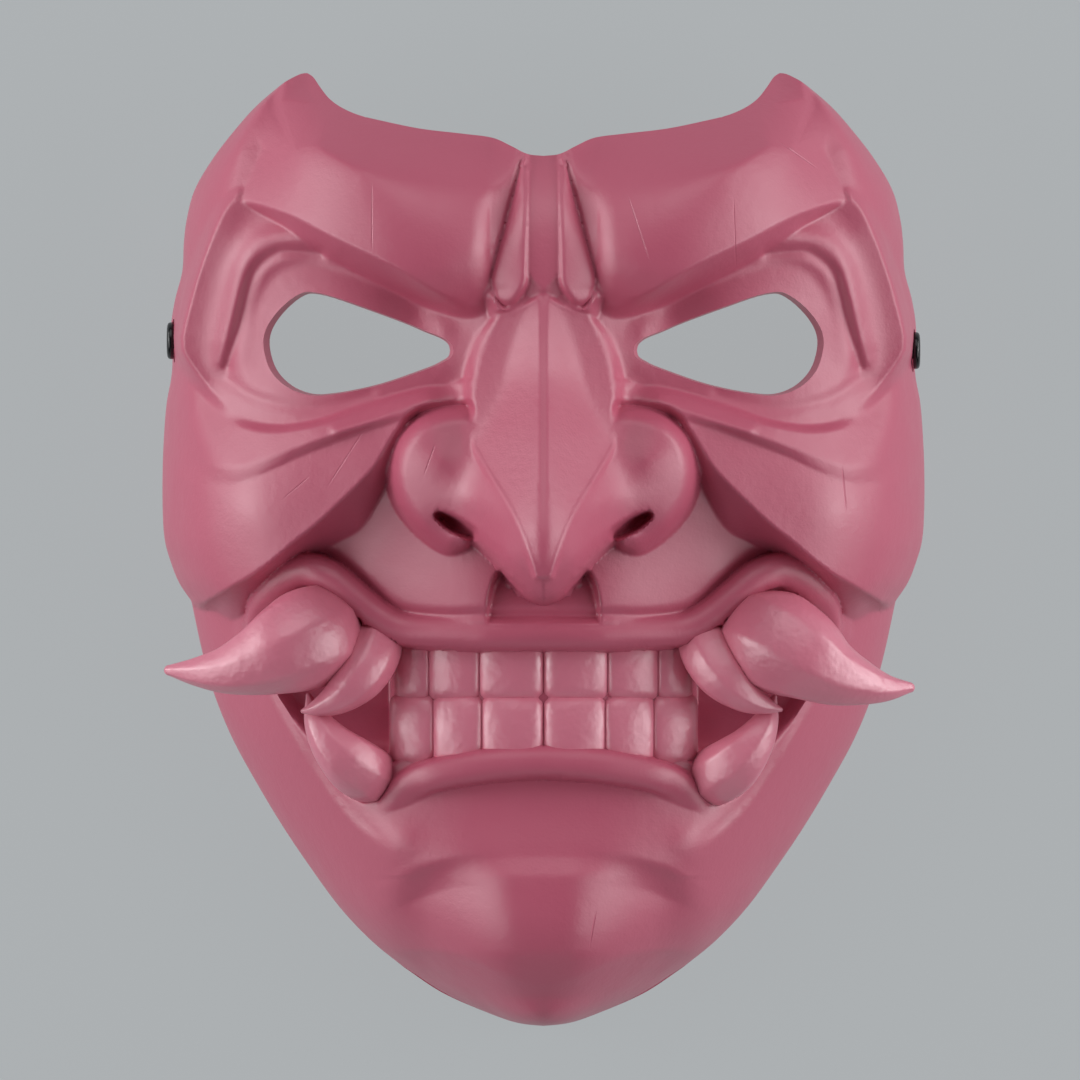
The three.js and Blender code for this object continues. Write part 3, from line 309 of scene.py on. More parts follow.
# Muzzle, and the gutter under the nose. Spots give a plane's height at places on it.
muzzle_spots = spots(mirrored([
    [0, -14, 66], [0, 8, 68], [14, -14, 66], [14, 5, 67], [25, -12, 61.8], [25, 5, 63.5], [38, -10, 55],
    [38, 10, 59], [36, 28, 64], [22, 36, 65], [50, 0, 50], [47, -8, 51], [60, -3, 45], [66, -8, 41],
    [71, -18, 34]]))
muzzle = plate(
    [[(-5, 38), (30, 38), (40, 30), (42, 14), (60, 6), (70, -8), (71.5, -20), (60, -20), (45, -18),
      (-5, -22)]],
    lambda x, y, z: muzzle_spots(x, y), 4.0)
philtrum = plate(
    [curve([(13, -17), (12.9, -14), (12.2, -10), (11.2, -7.2), (9.6, -4.6)]),
     [(8, -2), (-8, -2), (-8, -17)]],
    lambda x, y, z: z - 2.2 - 2.2 * ease((y + 16) / 8), 0.9)

# Cheek plate, and the bag under the eye that lies on it
cheek_spots = spots([
    [36, 30, 69], [45, 20, 68], [50, 11, 67], [60, 3, 63.5], [70, -5, 57.5], [83, -13, 43], [60, 25, 62],
    [75, 20, 54.5], [83, 10, 48], [83, 25, 45], [70, 8, 60]])
cheek_top = rounded_off(cheek_spots, 76)
cheek_wall = table([
    (34, 2.5), (38, 5), (44, 8), (50, 6.5), (56, 4.8), (62, 3.8), (66, 4), (70, 6), (75, 7.5), (80, 3.2),
    (84, 0.8)])
cheek = plate(
    [curve([(30, 40), (34, 32), (37, 27), (41, 20.5), (45, 16), (50, 11), (55, 6.3), (60, 2.3), (65, -2),
            (70, -5.6), (75, -8.4), (80, -11.3), (83.5, -13.3)]),
     [(86, -12.6), (100, -12), (100, 60), (30, 60)]],
    lambda x, y, z: cheek_top(x, y), lambda x, y: cheek_wall(x))
bag_top = rounded_off(
    spots([[16, 42, 70], [20, 42, 66.5], [17.5, 37, 70], [20, 36.5, 67.5], [28, 37, 67.5],
           [36, 34.5, 67.8], [45, 32, 66.5], [60, 27, 63.2], [72, 23, 57.2], [84, 24, 47], [55, 36, 61],
           [44, 37, 62.5], [32, 41.5, 62], [24, 42, 63], [70, 34, 53.5], [80, 34, 44.5], [86, 30, 42]]),
    74)
bag = plate(
    [curve([(100, 24), (92.8, 24.6), (90, 22.4), (86, 20.8), (80, 20.2), (75, 20.2), (70, 21.3), (65, 23),
            (60, 25), (50, 28.4), (45, 30), (40, 31.6), (34, 33.8), (28, 35.6), (22, 36.3), (14, 36.6)]),
     [(14, 60), (100, 60)]],
    lambda x, y, z: bag_top(x, y), lambda x, y: np.interp(x, [30, 42, 60, 75], [2.6, 1.6, 2.6, 4.0]))
bag_roll = ridge([(50, 29), (44, 30.9), (36, 33.6), (28, 36.1), (22, 37), (16, 36.6)], 0.7, 1.5)

# Temple, eye socket and the folds outside the eye
temple_top = rounded_off(
    spots([[64, 104, 44.6], [68, 95, 47.8], [72.5, 86, 50.0], [61, 113, 37.5], [80, 76, 50.6],
           [83.5, 66, 48.6], [86.5, 54, 45.6], [89, 46, 38], [74, 98, 43], [80, 90, 42.5],
           [85.5, 80, 42.5]]),
    70)
temple = plate(
    [curve([(100, 44), (92, 44), (88.2, 48), (87.8, 52), (86, 59), (84, 66.5), (80.8, 75), (77, 82),
            (73.2, 85.4)]),
     [(66, 98), (64, 104.5), (60, 118), (110, 118)]],
    lambda x, y, z: temple_top(x, y), 2.5, 1)
SOCKET_EDGE = curve([
    (24, 41), (32.7, 39), (44.9, 35.5), (55.2, 31.9), (64.8, 30.7), (73.4, 32.9), (80.3, 39),
    (86.4, 46.7), (87.4, 50.5), (87, 54), (85.5, 60), (83.5, 67), (80.5, 75), (77, 82), (73.5, 85.3)])
shelf_spots = spots([
    [84.5, 50, 44.8], [81, 66, 48.3], [76.5, 78, 51], [71, 82, 51.9], [79, 42, 46], [72, 35, 51.5],
    [60, 33, 58.5], [45, 37, 62.5], [30, 41, 63.5], [20.5, 43, 65.2], [17, 46, 67], [14.5, 52, 68],
    [11, 57, 70], [17, 57.5, 66.8], [24, 49, 64.5], [26, 56, 62.5], [33, 60, 62], [40, 63.5, 63.5],
    [50, 68.5, 62], [58, 72.5, 59.5], [66, 77, 55.5], [48, 50, 62]])
shelf = plate(
    [[(13, 43.5), (20, 42)], SOCKET_EDGE, [(66, 84), (50, 80), (30, 75), (8, 66), (8, 50), (10, 43.5)]],
    lambda x, y, z: shelf_spots(x, y), lambda x, y: np.interp(x, [14, 60, 72, 80], [2.0, 2.0, 3.0, 3.5]), 1)
mound_spots = spots([
    [24, 48, 64.5], [30, 44, 63.3], [42, 39, 62.5], [55, 36.5, 60], [66, 38, 55.5], [71, 44, 51.5],
    [71.5, 50, 51], [69, 59, 52], [65, 67, 54.5], [56, 68, 58], [40, 62, 61.5], [30, 56.5, 61],
    [48, 50, 62.5], [24, 53, 64.5]])
eye_mound = plate(
    [curve([(24.5, 48), (28, 45.6), (36, 43), (43, 41), (50, 39), (58, 37.8), (65, 39.5), (69.5, 43),
            (71.5, 48), (70.5, 54), (68, 61), (64.5, 66), (60, 68), (55, 68.3), (48, 66), (40, 62.5),
            (30, 57.5), (25, 53)])],
    lambda x, y, z: mound_spots(x, y), 6.0, 1)
channel = ridge([(66, 82), (72.5, 79), (77, 71.5), (80, 63), (82, 55), (82.6, 49), (79.5, 43)], -1.3, 4.6)
eye_fold = ridge(
    [(50, 73.6), (58, 76), (65, 75.9), (70, 73.6), (73.2, 68.5), (75, 61), (76.5, 54), (78.6, 46)], 0.9,
    2.3)
eye_groove = ridge(
    [(54, 72.2), (60, 72.6), (64.7, 72), (69.6, 68.2), (72, 62.6), (73.9, 55), (76.8, 44.8)], -1.3, 1.5)
lid_line = ridge([(77, 41.5), (72, 38), (67.3, 36.2), (58.7, 34.4), (50, 35.4), (42, 37.8)], -0.5, 1.4)

# Brow: it overhangs the socket with a sharp edge that turns round towards the nose
brow_spots = spots([
    [12.6, 64, 73.2], [12.6, 74, 74.6], [12.6, 84, 73.6], [6, 96, 70.3], [17, 72, 76.6], [23, 72, 78],
    [30, 84, 77], [32, 70, 78], [45, 78, 74], [45, 90, 71.5], [60, 97, 57], [60, 82, 64], [72, 86, 50.6],
    [64, 104, 46], [68, 95, 48.6]])
brow_wall = table([(12, 3.5), (18, 4.5), (25, 5), (40, 5.4), (50, 5), (58, 4), (66, 2.5), (73, 1.2)])
BROW_TURN = 3.5


def brow_height(x, y, z):
    """The brow's plane, turned under at its inner end."""
    low = 1 - np.clip((y - 60) / 9, 0, 1)
    return brow_spots(x, y) - BROW_TURN * low**2 * (1 - ease((x - 22) / 16))


brow = plate(
    [curve([(73.2, 85.4), (65, 82.5), (60, 80.5), (50, 75.3), (40, 70.5), (35, 68), (30, 65.2),
            (25, 62.6), (20, 60.6), (16, 60.2), (12.8, 62.5)]),
     curve([(12.6, 68), (12.6, 84), (9, 90), (6, 95), (4.6, 100)]),
     [(4, 118), (62, 118), (64, 104.5), (69, 94)]],
    brow_height, lambda x, y: np.where((x < 13) & (y > 66), 0.8, brow_wall(x)),
    lambda x, y: 1 - ease((x - 24) / 16))
creases.append((curve([(73.2, 85.4), (65, 82.5), (60, 80.5), (50, 75.3), (40, 70.5)])[::-1], (0,)))

# Furrows between the brows: a bowed strip, a pillow on each side of it, and a facet outside the pillow
# that slopes up to the brow's root
STRIP_TOP = 75
STRIP_BOW = 0.0075
# How far the brow's root bends down, how steeply the facet falls from it, and how deep its floor lies
ROOT_DROP = 1.7
VALLEY_SLOPE = 0.62
VALLEY_DEPTH = 4
furrow_edge = table([
    (56, 11.5), (62, 12.4), (68, 12.6), (84, 12.4), (88, 10.6), (92, 8), (96, 5.8), (102, 4.4)])


def strip_height(y):
    return STRIP_TOP - STRIP_BOW * (y - 66)**2


def root_drop(y):
    return ROOT_DROP * ease((92 - y) / 12)


def brow_root(x, y, z):
    """The brow's inner end bends down to the furrow."""
    bend = np.clip(1 - (x - furrow_edge(y)) / 5, 0, 1)
    return z - root_drop(y) * bend**2 * ease((x - furrow_edge(y) + 1) / 0.8) * ease((y - 54) / 6)


def furrow_height(x, y):
    """The facet falls from the brow's root, as far as its floor."""
    edge = furrow_edge(y)
    valley = brow_spots(edge, y) - root_drop(y) - VALLEY_SLOPE * np.clip(edge - x, 0, 20)
    return np.maximum(valley, strip_height(y) - VALLEY_DEPTH + 2 * ease((64 - y) / 4))


furrow_facet = plate(
    [curve([(4.4, 102), (5.8, 96), (8, 92), (10.6, 88), (12.4, 84), (12.6, 68), (12.4, 62), (11, 58.4)]),
     [(4, 60.3), (0, 61.6), (-6, 61.6), (-6, 102)]],
    lambda x, y, z: furrow_height(x, y), lambda x, y: np.interp(y, [56, 62, 68], [3.0, 2.2, 0.8]))
strip_end = plate(
    [[(-6, 66), (4.2, 66), (9.6, 60.5), (10.6, 56), (-6, 56)]],
    lambda x, y, z: 74.6 - 0.35 * np.clip(63.2 + 0.95 * np.abs(x) - y, 0, 5.5), 0.6)
PILLOW = curve([
    (3.3, 102), (4.9, 98), (5.6, 93), (7.2, 86), (9.3, 78), (12.3, 67), (12.0, 62.5), (10.4, 59.7),
    (8.6, 59), (6.4, 61), (4.1, 65.3), (3.8, 75), (3.4, 90)])
PILLOW_WALL = 0.6
PILLOW_GROOVE = 0.45
creases.append((PILLOW, (0, PILLOW_WALL, -1.0)))
pillow_edge = table([(56, 8), (59, 9), (62.5, 12), (67, 12.3), (78, 9.3), (86, 7.2), (93, 5.6), (102, 4)])


def pillow(x, y, z):
    """It is crowned beside the strip, falls to the facet, and has a fine groove round its edge."""
    depth = depth_inside(x, y, PILLOW)
    inner = np.interp(y, [59, 66, 100], [4.6, 4.1, 3.3])
    across = np.clip((x - inner) / (pillow_edge(y) - inner), 0, 1.3)
    end = 1 - np.clip((y - 58.6) / 7, 0, 1)
    edge = 1 - np.clip(depth / 1.1, 0, 1)
    crown = strip_height(y) + 1.0
    foot = furrow_height(pillow_edge(y), y) + 0.6
    top = crown + (foot - crown) * across**1.4 - 0.8 * end**2 - 0.8 * edge**2
    groove = PILLOW_GROOVE * np.exp(-((depth + 0.4) / 0.4)**2) * (x > inner + 2) * ease((y - 61) / 5)
    return z + (top - z) * np.clip(1 + depth / PILLOW_WALL, 0, 1) - groove


middle_strip = plate(
    [[(-6, 120), (3.2, 120), (3.4, 85), (3.8, 67), (0, 63.2), (-6, 63.2)]],
    lambda x, y, z: strip_height(y) - 0.2, lambda x, y: np.interp(y, [62, 67, 70], [0.8, 0.8, 0.7]))

# The forehead's upper band leans back from a line over both brows
TOP_BAND = curve([
    (80, 112), (64, 104.5), (58, 100.3), (50, 95), (42, 91.2), (34, 88.6), (24, 86.5), (12, 85), (0, 84)])
BAND_SLOPE = 0.85


def top_band(x, y, z):
    """The fold is soft over the middle and sharp over the temples."""
    distance, _ = nearest(x, y, TOP_BAND)
    softness = np.interp(x, [26, 44], [6.0, 0.5])
    over = 0.5 * (-distance + np.hypot(distance, softness))
    fade = (0.6 + 0.4 * ease((x - 4) / 10)) * (1 - ease((x - 57) / 12))
    return z - BAND_SLOPE * np.clip(over, 0, 40) * fade


# Nose: a round lobe on each side, and the bridge with its kite-shaped tip over them
LOBE = np.vstack([
    curve([(-4, -13), (0, -12.0), (3, -11), (6.5, -7.8), (9.6, -4.4), (13, -0.6), (17, 2.4), (19.5, 0.8),
           (23, 0.0), (27, 2.0), (31.8, 6.3), (35.4, 11.5), (37, 17), (36.7, 22), (34.8, 26.8),
           (30.4, 31.4), (25.4, 33.4), (20, 34), (17, 33.2)]),
    [(14, 36), (-4, 36)]])
lobe_spots = spots([
    [19, 31, 74.5], [27, 30, 74.5], [35.5, 22, 72.3], [35, 13, 71.3], [31, 22, 75], [30, 13, 74.2],
    [25, 22, 77.2], [24, 12, 76.8], [29, 7, 72.5], [17.5, 25, 77], [19.5, 17, 79.2], [14, 12, 86.5],
    [9.5, 7.5, 93.8], [5, 0.5, 100.6], [13, 5, 87], [20, 5, 76], [7.5, -2, 95.5], [5, -8, 92],
    [0, -11, 93], [0, -6, 101]])
LOBE_WALL = 1.2
creases.append((LOBE, (0, LOBE_WALL)))


def lobes(x, y, z):
    """The lobe's top, rounded over towards its edge."""
    depth = depth_inside(x, y, LOBE)
    top = lobe_spots(x, y) - 4.0 * (1 - np.clip(depth / 3.6, 0, 1))**2
    return z + (top - z) * np.clip(1 + depth / LOBE_WALL, 0, 1)


# Down the bridge, its crest's height and roundness, the slopes beside the crest and further out, and
# where the one turns into the other
crest_height = table([
    (-14, 98), (-8, 102), (0, 104), (10, 101.6), (25, 92.6), (40, 82), (48, 78.2), (55, 75.9), (62, 73.8),
    (70, 69)])
crest_round = table([(-14, 5), (-4, 3.6), (7, 2.0), (18, 1.1), (40, 0.9), (62, 0.8)])
inner_slope = table([
    (-14, 0.8), (5, 0.87), (15, 0.94), (30, 0.94), (37, 0.92), (45, 0.87), (52, 0.8), (57, 0.65),
    (62, 0.5)])
outer_slope = table([
    (-14, 0.8), (5, 0.85), (15, 0.9), (25, 0.6), (35, 0.42), (45, 0.33), (55, 0.3), (62, 0.3)])
slope_turn = table([
    (-14, 24), (20, 24), (26, 17.5), (30, 14.4), (35, 11.8), (40, 9.8), (45, 8.6), (50, 7.3), (55, 5.5),
    (62, 3)])
BRIDGE = np.vstack([
    curve([(0, 61.9), (5.6, 58.6), (8.5, 57.4), (10.6, 56.8), (12.4, 53.2), (14.8, 48.1), (16.2, 43),
           (16.7, 38), (16.4, 33), (16.8, 29), (17.2, 25.2)]),
    curve([(17.2, 25.2), (14.2, 19.8), (10.6, 14), (7.6, 8.8), (5.2, 3.5), (3.4, -1.5), (1.8, -6.5)])[1:],
    [(-4, -8), (-4, 60)]])
creases.append((BRIDGE, (0, 1.0)))
SEAM_DEPTH = 0.35
RIM_RISE = 0.3


def bridge(x, y, z):
    """Two slopes on each side of the crest, a thin raised rim along the edge and a seam on the middle."""
    softness = crest_round(y)
    run = np.hypot(x, softness) - softness
    turn = slope_turn(y)
    beyond = 0.5 * ((x - turn) + np.hypot(x - turn, 1.2))
    top = crest_height(y) - inner_slope(y) * run + (inner_slope(y) - outer_slope(y)) * beyond
    wall = np.interp(y, [0, 24, 30, 42, 52, 58], [1.0, 1.0, 1.4, 3.5, 3.5, 1.0])
    depth = depth_inside(x, y, BRIDGE)
    worn = 1 - 0.85 * ease((y - 26) / 4) * ease((60 - y) / 6)
    rim = RIM_RISE * np.exp(-((depth - 0.3) / 0.45)**2) * (x > 1) * worn
    seam = SEAM_DEPTH * np.exp(-(x / 0.55)**2) * ease((y - 8) / 14) * (depth > 0)
    return z + (top - z) * ease(1 + depth / wall) + rim - seam


NOSTRIL_DEPTH = 7
nostril = plate(
    curve([(17.2, 3.1), (20, 4.1), (23, 5.8), (25.5, 8), (25, 8.6), (22.3, 7.7), (19.3, 6), (17.2, 4.4),
           (17.2, 3.1)]),
    lambda x, y, z: z - NOSTRIL_DEPTH, lambda x, y: np.interp(x, [17, 26], [1.2, 0.8]))

# Mouth: the jaw rises to a fold, then drops to the floor that the teeth and tusks stand on
MOUTH = np.array(
    [(0, -24.5), (20, -24), (34, -22.5), (40, -20), (45, -16), (50, -11), (57, -8.7), (62, -10.5),
     (66, -14.5), (69, -20), (68.5, -28), (64.6, -35.5), (60, -42.6), (57, -47.5), (53.5, -53),
     (50.5, -57), (47, -60), (43.5, -61.5), (40, -60.5), (38, -57.5), (37.4, -53), (37, -52), (28, -50.5),
     (15, -48.5), (0, -47.4), (-5, -47.4), (-5, -24.5)],
    float)
JAW_FOLD = curve([
    (66, -30), (65, -35.5), (60, -44), (57, -49), (53, -55), (50, -59.5), (45, -65), (40, -69),
    (36.5, -71)])
creases.append((MOUTH, (0, lambda x, y: -mouth_wall(y))))
# Where the teeth's fronts stand on the middle line, and how fast their arch falls back beside it
TOOTH_FRONT = 60.2
TOOTH_ARCH = 0.0068
GUM_BEHIND = 3.0
CORNER_HEIGHT = 30
FOLD_RISE = 2.0


def mouth_wall(y):
    return np.where(y < -24, 3.0, 2.0)


def mouth(x, y, z):
    """The gum follows the arch of the teeth, and the corners lie deeper behind the canines and tusks."""
    gum = TOOTH_FRONT - GUM_BEHIND - TOOTH_ARCH * x**2
    corner = CORNER_HEIGHT + 9 * ease((-36 - y) / 12)
    floor = gum + (corner - gum) * ease((x - 34.8) / 2.6)
    fold, _ = nearest(x, y, JAW_FOLD)
    z = z + FOLD_RISE * np.exp(-(fold / 6.0)**2)
    return z + (floor - z) * np.clip(depth_inside(x, y, MOUTH) / mouth_wall(y), 0, 1)


jaw_drop = plate(
    [JAW_FOLD, [(34, -68), (32.5, -62), (33, -57), (40, -50), (60, -30)]],
    lambda x, y, z: z - 0.9 + 0.9 * (1 - ease((x - 36) / 9)), 1.6)
lip_groove = ridge(
    [(0, -15.6), (14, -15.6), (24, -15.8), (33, -15), (38, -12.8), (44, -7.4), (50, -2.6), (56, -0.4)],
    -1.2, 1.2)
upper_lip = roll(
    [(-8, -20.3, 65.5, 1), (0, -20.3, 65.5, 1), (12, -20.3, 65.3, 1), (20, -20, 63.4, 1),
     (33, -19.5, 59.3, 0.95), (40, -16.4, 58.2, 0.95), (46, -11.6, 57.6, 0.95), (52, -6.9, 56.8, 1),
     (57.5, -5.0, 55.2, 1), (63, -7.3, 52, 1), (67.3, -12, 47.5, 0.9), (69.4, -16.5, 43, 0.7),
     (70, -21, 38, 0.5)],
    4.3, 1.0)
lower_lip = roll(
    [(-8, -51.3, 61, 1), (0, -51.3, 61, 1), (12, -52, 60.5, 1), (22, -53.6, 58.8, 0.98),
     (28, -55.1, 57, 0.95), (31.8, -57, 54.4, 1.0), (34.6, -60.2, 51.4, 1.1), (36.6, -64.2, 48.6, 1.1),
     (37, -69, 46, 0.9)],
    4.2, 0.8)

# Everything in the order it was carved. A number is how far outside its outline a feature reaches.
CARVING = [
    chin, muzzle, philtrum, cheek, bag, bag_roll, temple, shelf, eye_mound, channel, eye_fold, eye_groove,
    brow, brow_root, furrow_facet, strip_end, only_near(pillow, PILLOW, 2), middle_strip, top_band,
    only_near(lobes, LOBE, 2), only_near(bridge, BRIDGE, 4), nostril, lip_groove, jaw_drop,
    only_near(mouth, MOUTH, 18), lower_lip, upper_lip, lid_line]
LEAST_OVER_RIM = 0.5


def face(x, y):
    """The finished face's height over the plane of the rim."""
    x = np.abs(x)
    z = head(x, y)
    for feature in CARVING:
        z = feature(x, y, z)
    return np.maximum(z, rim_height(y) + LEAST_OVER_RIM)


# The mesh: rows beside the outline, both sides of every carved step, then an even scatter between them.
# SCALE turns millimetres to metres.
SCALE = 0.001
FACE_STEP = 0.8
UNDER_STEP = 9.0
OUTER_ROWS = [0.04, 0.1, 0.19, 0.31, 0.47, 0.68, 0.95, 1.3, 1.8, 2.5, 3.3]
FIELD_WIDTH = 100
FIELD_HEIGHT = 250
FIELD_FOOT = -118
# The height of a triangle with three equal sides of 1
ROW_PITCH = 0.866
SAME_POINT = 1e-5


def paced(line, step):
    """The line again with points an even step apart, and the direction to its left at each."""
    lengths = np.concatenate([[0], np.cumsum(np.hypot(*np.diff(line[:, :2], axis=0).T))])
    count = max(int(round(lengths[-1] / step)), 1)
    at = np.linspace(0, lengths[-1], count + 1)
    points = np.column_stack([np.interp(at, lengths, line[:, k]) for k in (0, 1)])
    ahead = np.gradient(points, axis=0)
    ahead /= np.maximum(np.hypot(*ahead.T), 1e-9)[:, None]
    return points, np.column_stack([-ahead[:, 1], ahead[:, 0]])


class Scatter:
    """Points in the plane, none of them nearer to an earlier one than the gap it is added with."""

    def __init__(self, cell):
        self.cell = cell
        self.points = []
        self.cells = {}

    def add(self, points, gap):
        for x, y in points:
            i, j = int(x // self.cell), int(y // self.cell)
            near = (self.points[k] for di in (-1, 0, 1) for dj in (-1, 0, 1)
                    for k in self.cells.get((i + di, j + dj), ()))
            if gap and any((x - px)**2 + (y - py)**2 < gap * gap for px, py in near):
                continue
            self.cells.setdefault((i, j), []).append(len(self.points))
            self.points.append((x, y))


def even(step):
    """Rows of points over the right half, each row set half a step over from the last."""
    j, i = np.mgrid[0:int(FIELD_HEIGHT / step), 0:int(FIELD_WIDTH / step)]
    x, y = (i + (j % 2) / 2) * step, FIELD_FOOT + j * step * ROW_PITCH
    return np.column_stack([x.ravel(), y.ravel()])


def half_sheet(rim, insets, step, scatters):
    """Points over the right half of an outline: its rim, the face's middle line, rows beside the rim,
    and each scatter's points where they keep its gap. Gives them with their triangles and the places of
    the rim among them."""
    low, high = rim[0, 1], rim[-1, 1]
    ends = [0, *insets]
    between = np.arange(low + ends[-1] + step, high - ends[-1] - step / 2, step)
    middle = np.concatenate([low + np.array(insets), between, high - np.array(insets[::-1])])[::-1]
    outline = np.vstack([rim, np.column_stack([0 * middle, middle])])
    scatter = Scatter(step)
    scatter.add(outline, 0)
    ahead = np.gradient(rim, axis=0)
    left = np.column_stack([-ahead[:, 1], ahead[:, 0]]) / np.hypot(*ahead.T)[:, None]
    for last, inset in zip(ends, insets):
        row = rim + left * inset
        clear = (depth_inside(*row.T, rim_and_middle(rim)) > 0.9 * inset) & (row[:, 0] > 0.3 * step)
        scatter.add(row[clear], 0.6 * (inset - last))
    for points, gap in scatters:
        clear = depth_inside(*points.T, rim_and_middle(rim)) > ends[-1] + 0.5 * gap
        scatter.add(points[clear & (points[:, 0] > 0.5 * gap)], gap)
    corners = [Vector(p) for p in scatter.points]
    made = delaunay_2d_cdt(corners, [], [list(range(len(outline)))], 1, SAME_POINT)
    found = {old: new for new, olds in enumerate(made[3]) for old in olds}
    return np.array([tuple(p) for p in made[0]]), np.array(made[2]), [found[k] for k in range(len(rim))]


def rim_and_middle(rim):
    """A right half's closed outline, reaching a little over the middle so that the middle is inside."""
    return np.vstack([rim, [[-9, rim[-1, 1]], [-9, rim[0, 1]]]])


def beside_middle(places):
    """Which places don't lie on the face's middle line, where both halves share their points."""
    return np.abs(places[:, 0]) > 1e-6


def whole(places, corners, rim):
    """The half mirrored over the middle of the face, and its whole rim anticlockwise from the chin."""
    off_middle = beside_middle(places)
    twin = np.arange(len(places))
    twin[off_middle] = len(places) + np.arange(np.count_nonzero(off_middle))
    both = np.vstack([places, places[off_middle] * [-1, 1]])
    loop = rim + [twin[k] for k in rim[-2:0:-1]]
    return both, np.vstack([corners, twin[corners][:, ::-1]]), loop


def block(top, top_height, under, under_height):
    """A closed block between two sheets over the same outline."""
    upper = np.column_stack([top[0], top_height])
    lower = np.column_stack([under[0], under_height])
    base = len(upper)
    wall = []
    for k, a in enumerate(top[2]):
        b = top[2][(k + 1) % len(top[2])]
        c, d = base + under[2][k], base + under[2][(k + 1) % len(under[2])]
        wall += [(c, d, b), (c, b, a)]
    return np.vstack([upper, lower]), np.vstack([top[1], base + under[1][:, ::-1], wall])


def mesh_object(name, places, corners):
    """An object from places in millimetres."""
    mesh = bpy.data.meshes.new(name)
    mesh.from_pydata((places * SCALE).tolist(), [], corners.tolist())
    mesh.validate()
    made = bpy.data.objects.new(name, mesh)
    bpy.context.scene.collection.objects.link(made)
    return made


def cut(body, tool):
    """The tool is taken out of the body, and removed."""
    modifier = body.modifiers.new("cut", "BOOLEAN")
    modifier.operation = "DIFFERENCE"
    modifier.solver = "MANIFOLD"
    modifier.object = tool
    settle(body)
    bpy.data.objects.remove(tool)


def settle(made):
    """The object's modifiers become its mesh."""
    evaluated = made.evaluated_get(bpy.context.evaluated_depsgraph_get())
    mesh = bpy.data.meshes.new_from_object(evaluated)
    made.modifiers.clear()
    made.data = mesh


CREASE_REACH = 0.6
LEAST_CREASE = 0.08


def lines_of(crease, step):
    """The rows of points on both sides of a carved step, where the finished face is creased."""
    line, offsets = crease
    points, left = paced(line, step)
    area = np.sum(line[:, 0] * np.roll(line[:, 1], -1) - np.roll(line[:, 0], -1) * line[:, 1])
    rows = []
    for offset in offsets:
        row = points - left * (np.sign(area) * at_place(offset, *points.T))[:, None]
        across = left * CREASE_REACH
        turn = face(*(row + across).T) + face(*(row - across).T) - 2 * face(*row.T)
        rows.append(row[(np.abs(turn) > LEAST_CREASE) & (row[:, 0] > 0)])
    return rows


# The carving is sampled finely where it turns sharply, and coarsely where it is smooth: each level is
# a step and the least sharpness it is for. Points keep a share of the step from the ones before them.
LEVELS = [(0.42, 0.3), (0.8, 0.05), (1.6, 0)]
CREASE_GAP = 0.5
SCATTER_GAP = 0.7
SHARPNESS_CELL = 0.6
SHARPNESS_WIDTH = 96
TURN_REACH = 1


def sharpness_map():
    """How sharply the face turns round each cell of a raster, taken over the cells beside it too."""
    y, x = np.mgrid[FIELD_FOOT - 1:1 - FIELD_FOOT:SHARPNESS_CELL, -1:SHARPNESS_WIDTH:SHARPNESS_CELL]
    z = face(x, y)
    turn = np.zeros(z.shape)
    for dj, di in ((0, 1), (1, 0), (1, 1), (1, -1)):
        ahead, behind = np.roll(z, (dj, di), (0, 1)), np.roll(z, (-dj, -di), (0, 1))
        steepness = ((ahead - behind) / (2 * SHARPNESS_CELL))**2 + 1
        turn = np.maximum(turn, np.abs(ahead + behind - 2 * z) / steepness)
    for axis in (0, 1):
        turn = np.maximum.reduce([np.roll(turn, k, axis) for k in range(-TURN_REACH, TURN_REACH + 1)])
    return x, y, turn


def sharpness(points, drawn):
    """The map's number at each point."""
    x, y, turn = drawn
    i = np.clip(np.round((points[:, 0] - x[0, 0]) / SHARPNESS_CELL).astype(int), 0, turn.shape[1] - 1)
    j = np.clip(np.round((points[:, 1] - y[0, 0]) / SHARPNESS_CELL).astype(int), 0, turn.shape[0] - 1)
    return turn[j, i]


rim = paced(HALF_OUTLINE, FACE_STEP)[0]
finest = LEVELS[0][0]
scatters = [(row, CREASE_GAP * finest) for crease in creases[::-1] for row in lines_of(crease, finest)]
drawn = sharpness_map()
for step, least in LEVELS:
    spread = even(step)
    scatters.append((spread[sharpness(spread, drawn) >= least], SCATTER_GAP * step))
half, half_corners, half_rim = half_sheet(rim, OUTER_ROWS, FACE_STEP, scatters)

# A light sanding takes the sharpness off the carved edges, all but the band beside the outline
SANDING = 0.3
UNSANDED_BAND = 3
SANDING_FADE = 2
off = SANDING * np.array([(0, 0), (1, 0), (-1, 0), (0.5, 0.87), (-0.5, 0.87), (0.5, -0.87), (-0.5, -0.87)])
heights = face(*half.T)
clear = ease((depth_inside(*half.T, rim_and_middle(HALF_OUTLINE)) - UNSANDED_BAND) / SANDING_FADE)
sanded = np.mean([face(half[:, 0] + dx, half[:, 1] + dy) for dx, dy in off], axis=0)
heights = heights + clear * (sanded - heights)

front = whole(half, half_corners, half_rim)
front_height = np.concatenate([heights, heights[beside_middle(half)]])
under = whole(*half_sheet(rim, [], UNDER_STEP, [(even(UNDER_STEP), SCATTER_GAP * UNDER_STEP)]))
shell = mesh_object("mask_shell", *block(front, front_height, under, rim_height(under[0][:, 1])))

# The inside follows the face as a ball rolled under it sees it, so it is plainer and the wall is never
# thin. It is worked out on a raster of cells, and cut out of the block from below.
WALL = 4.4
INSIDE_BALL = 12
INSIDE_STEP = 2.6
INNER_ROWS = [0.3, 1.2, 2.6]
INSIDE_CELL = 1.6
CELLS_UP = 74
CELLS_ACROSS = 60
NO_RESIN = -60
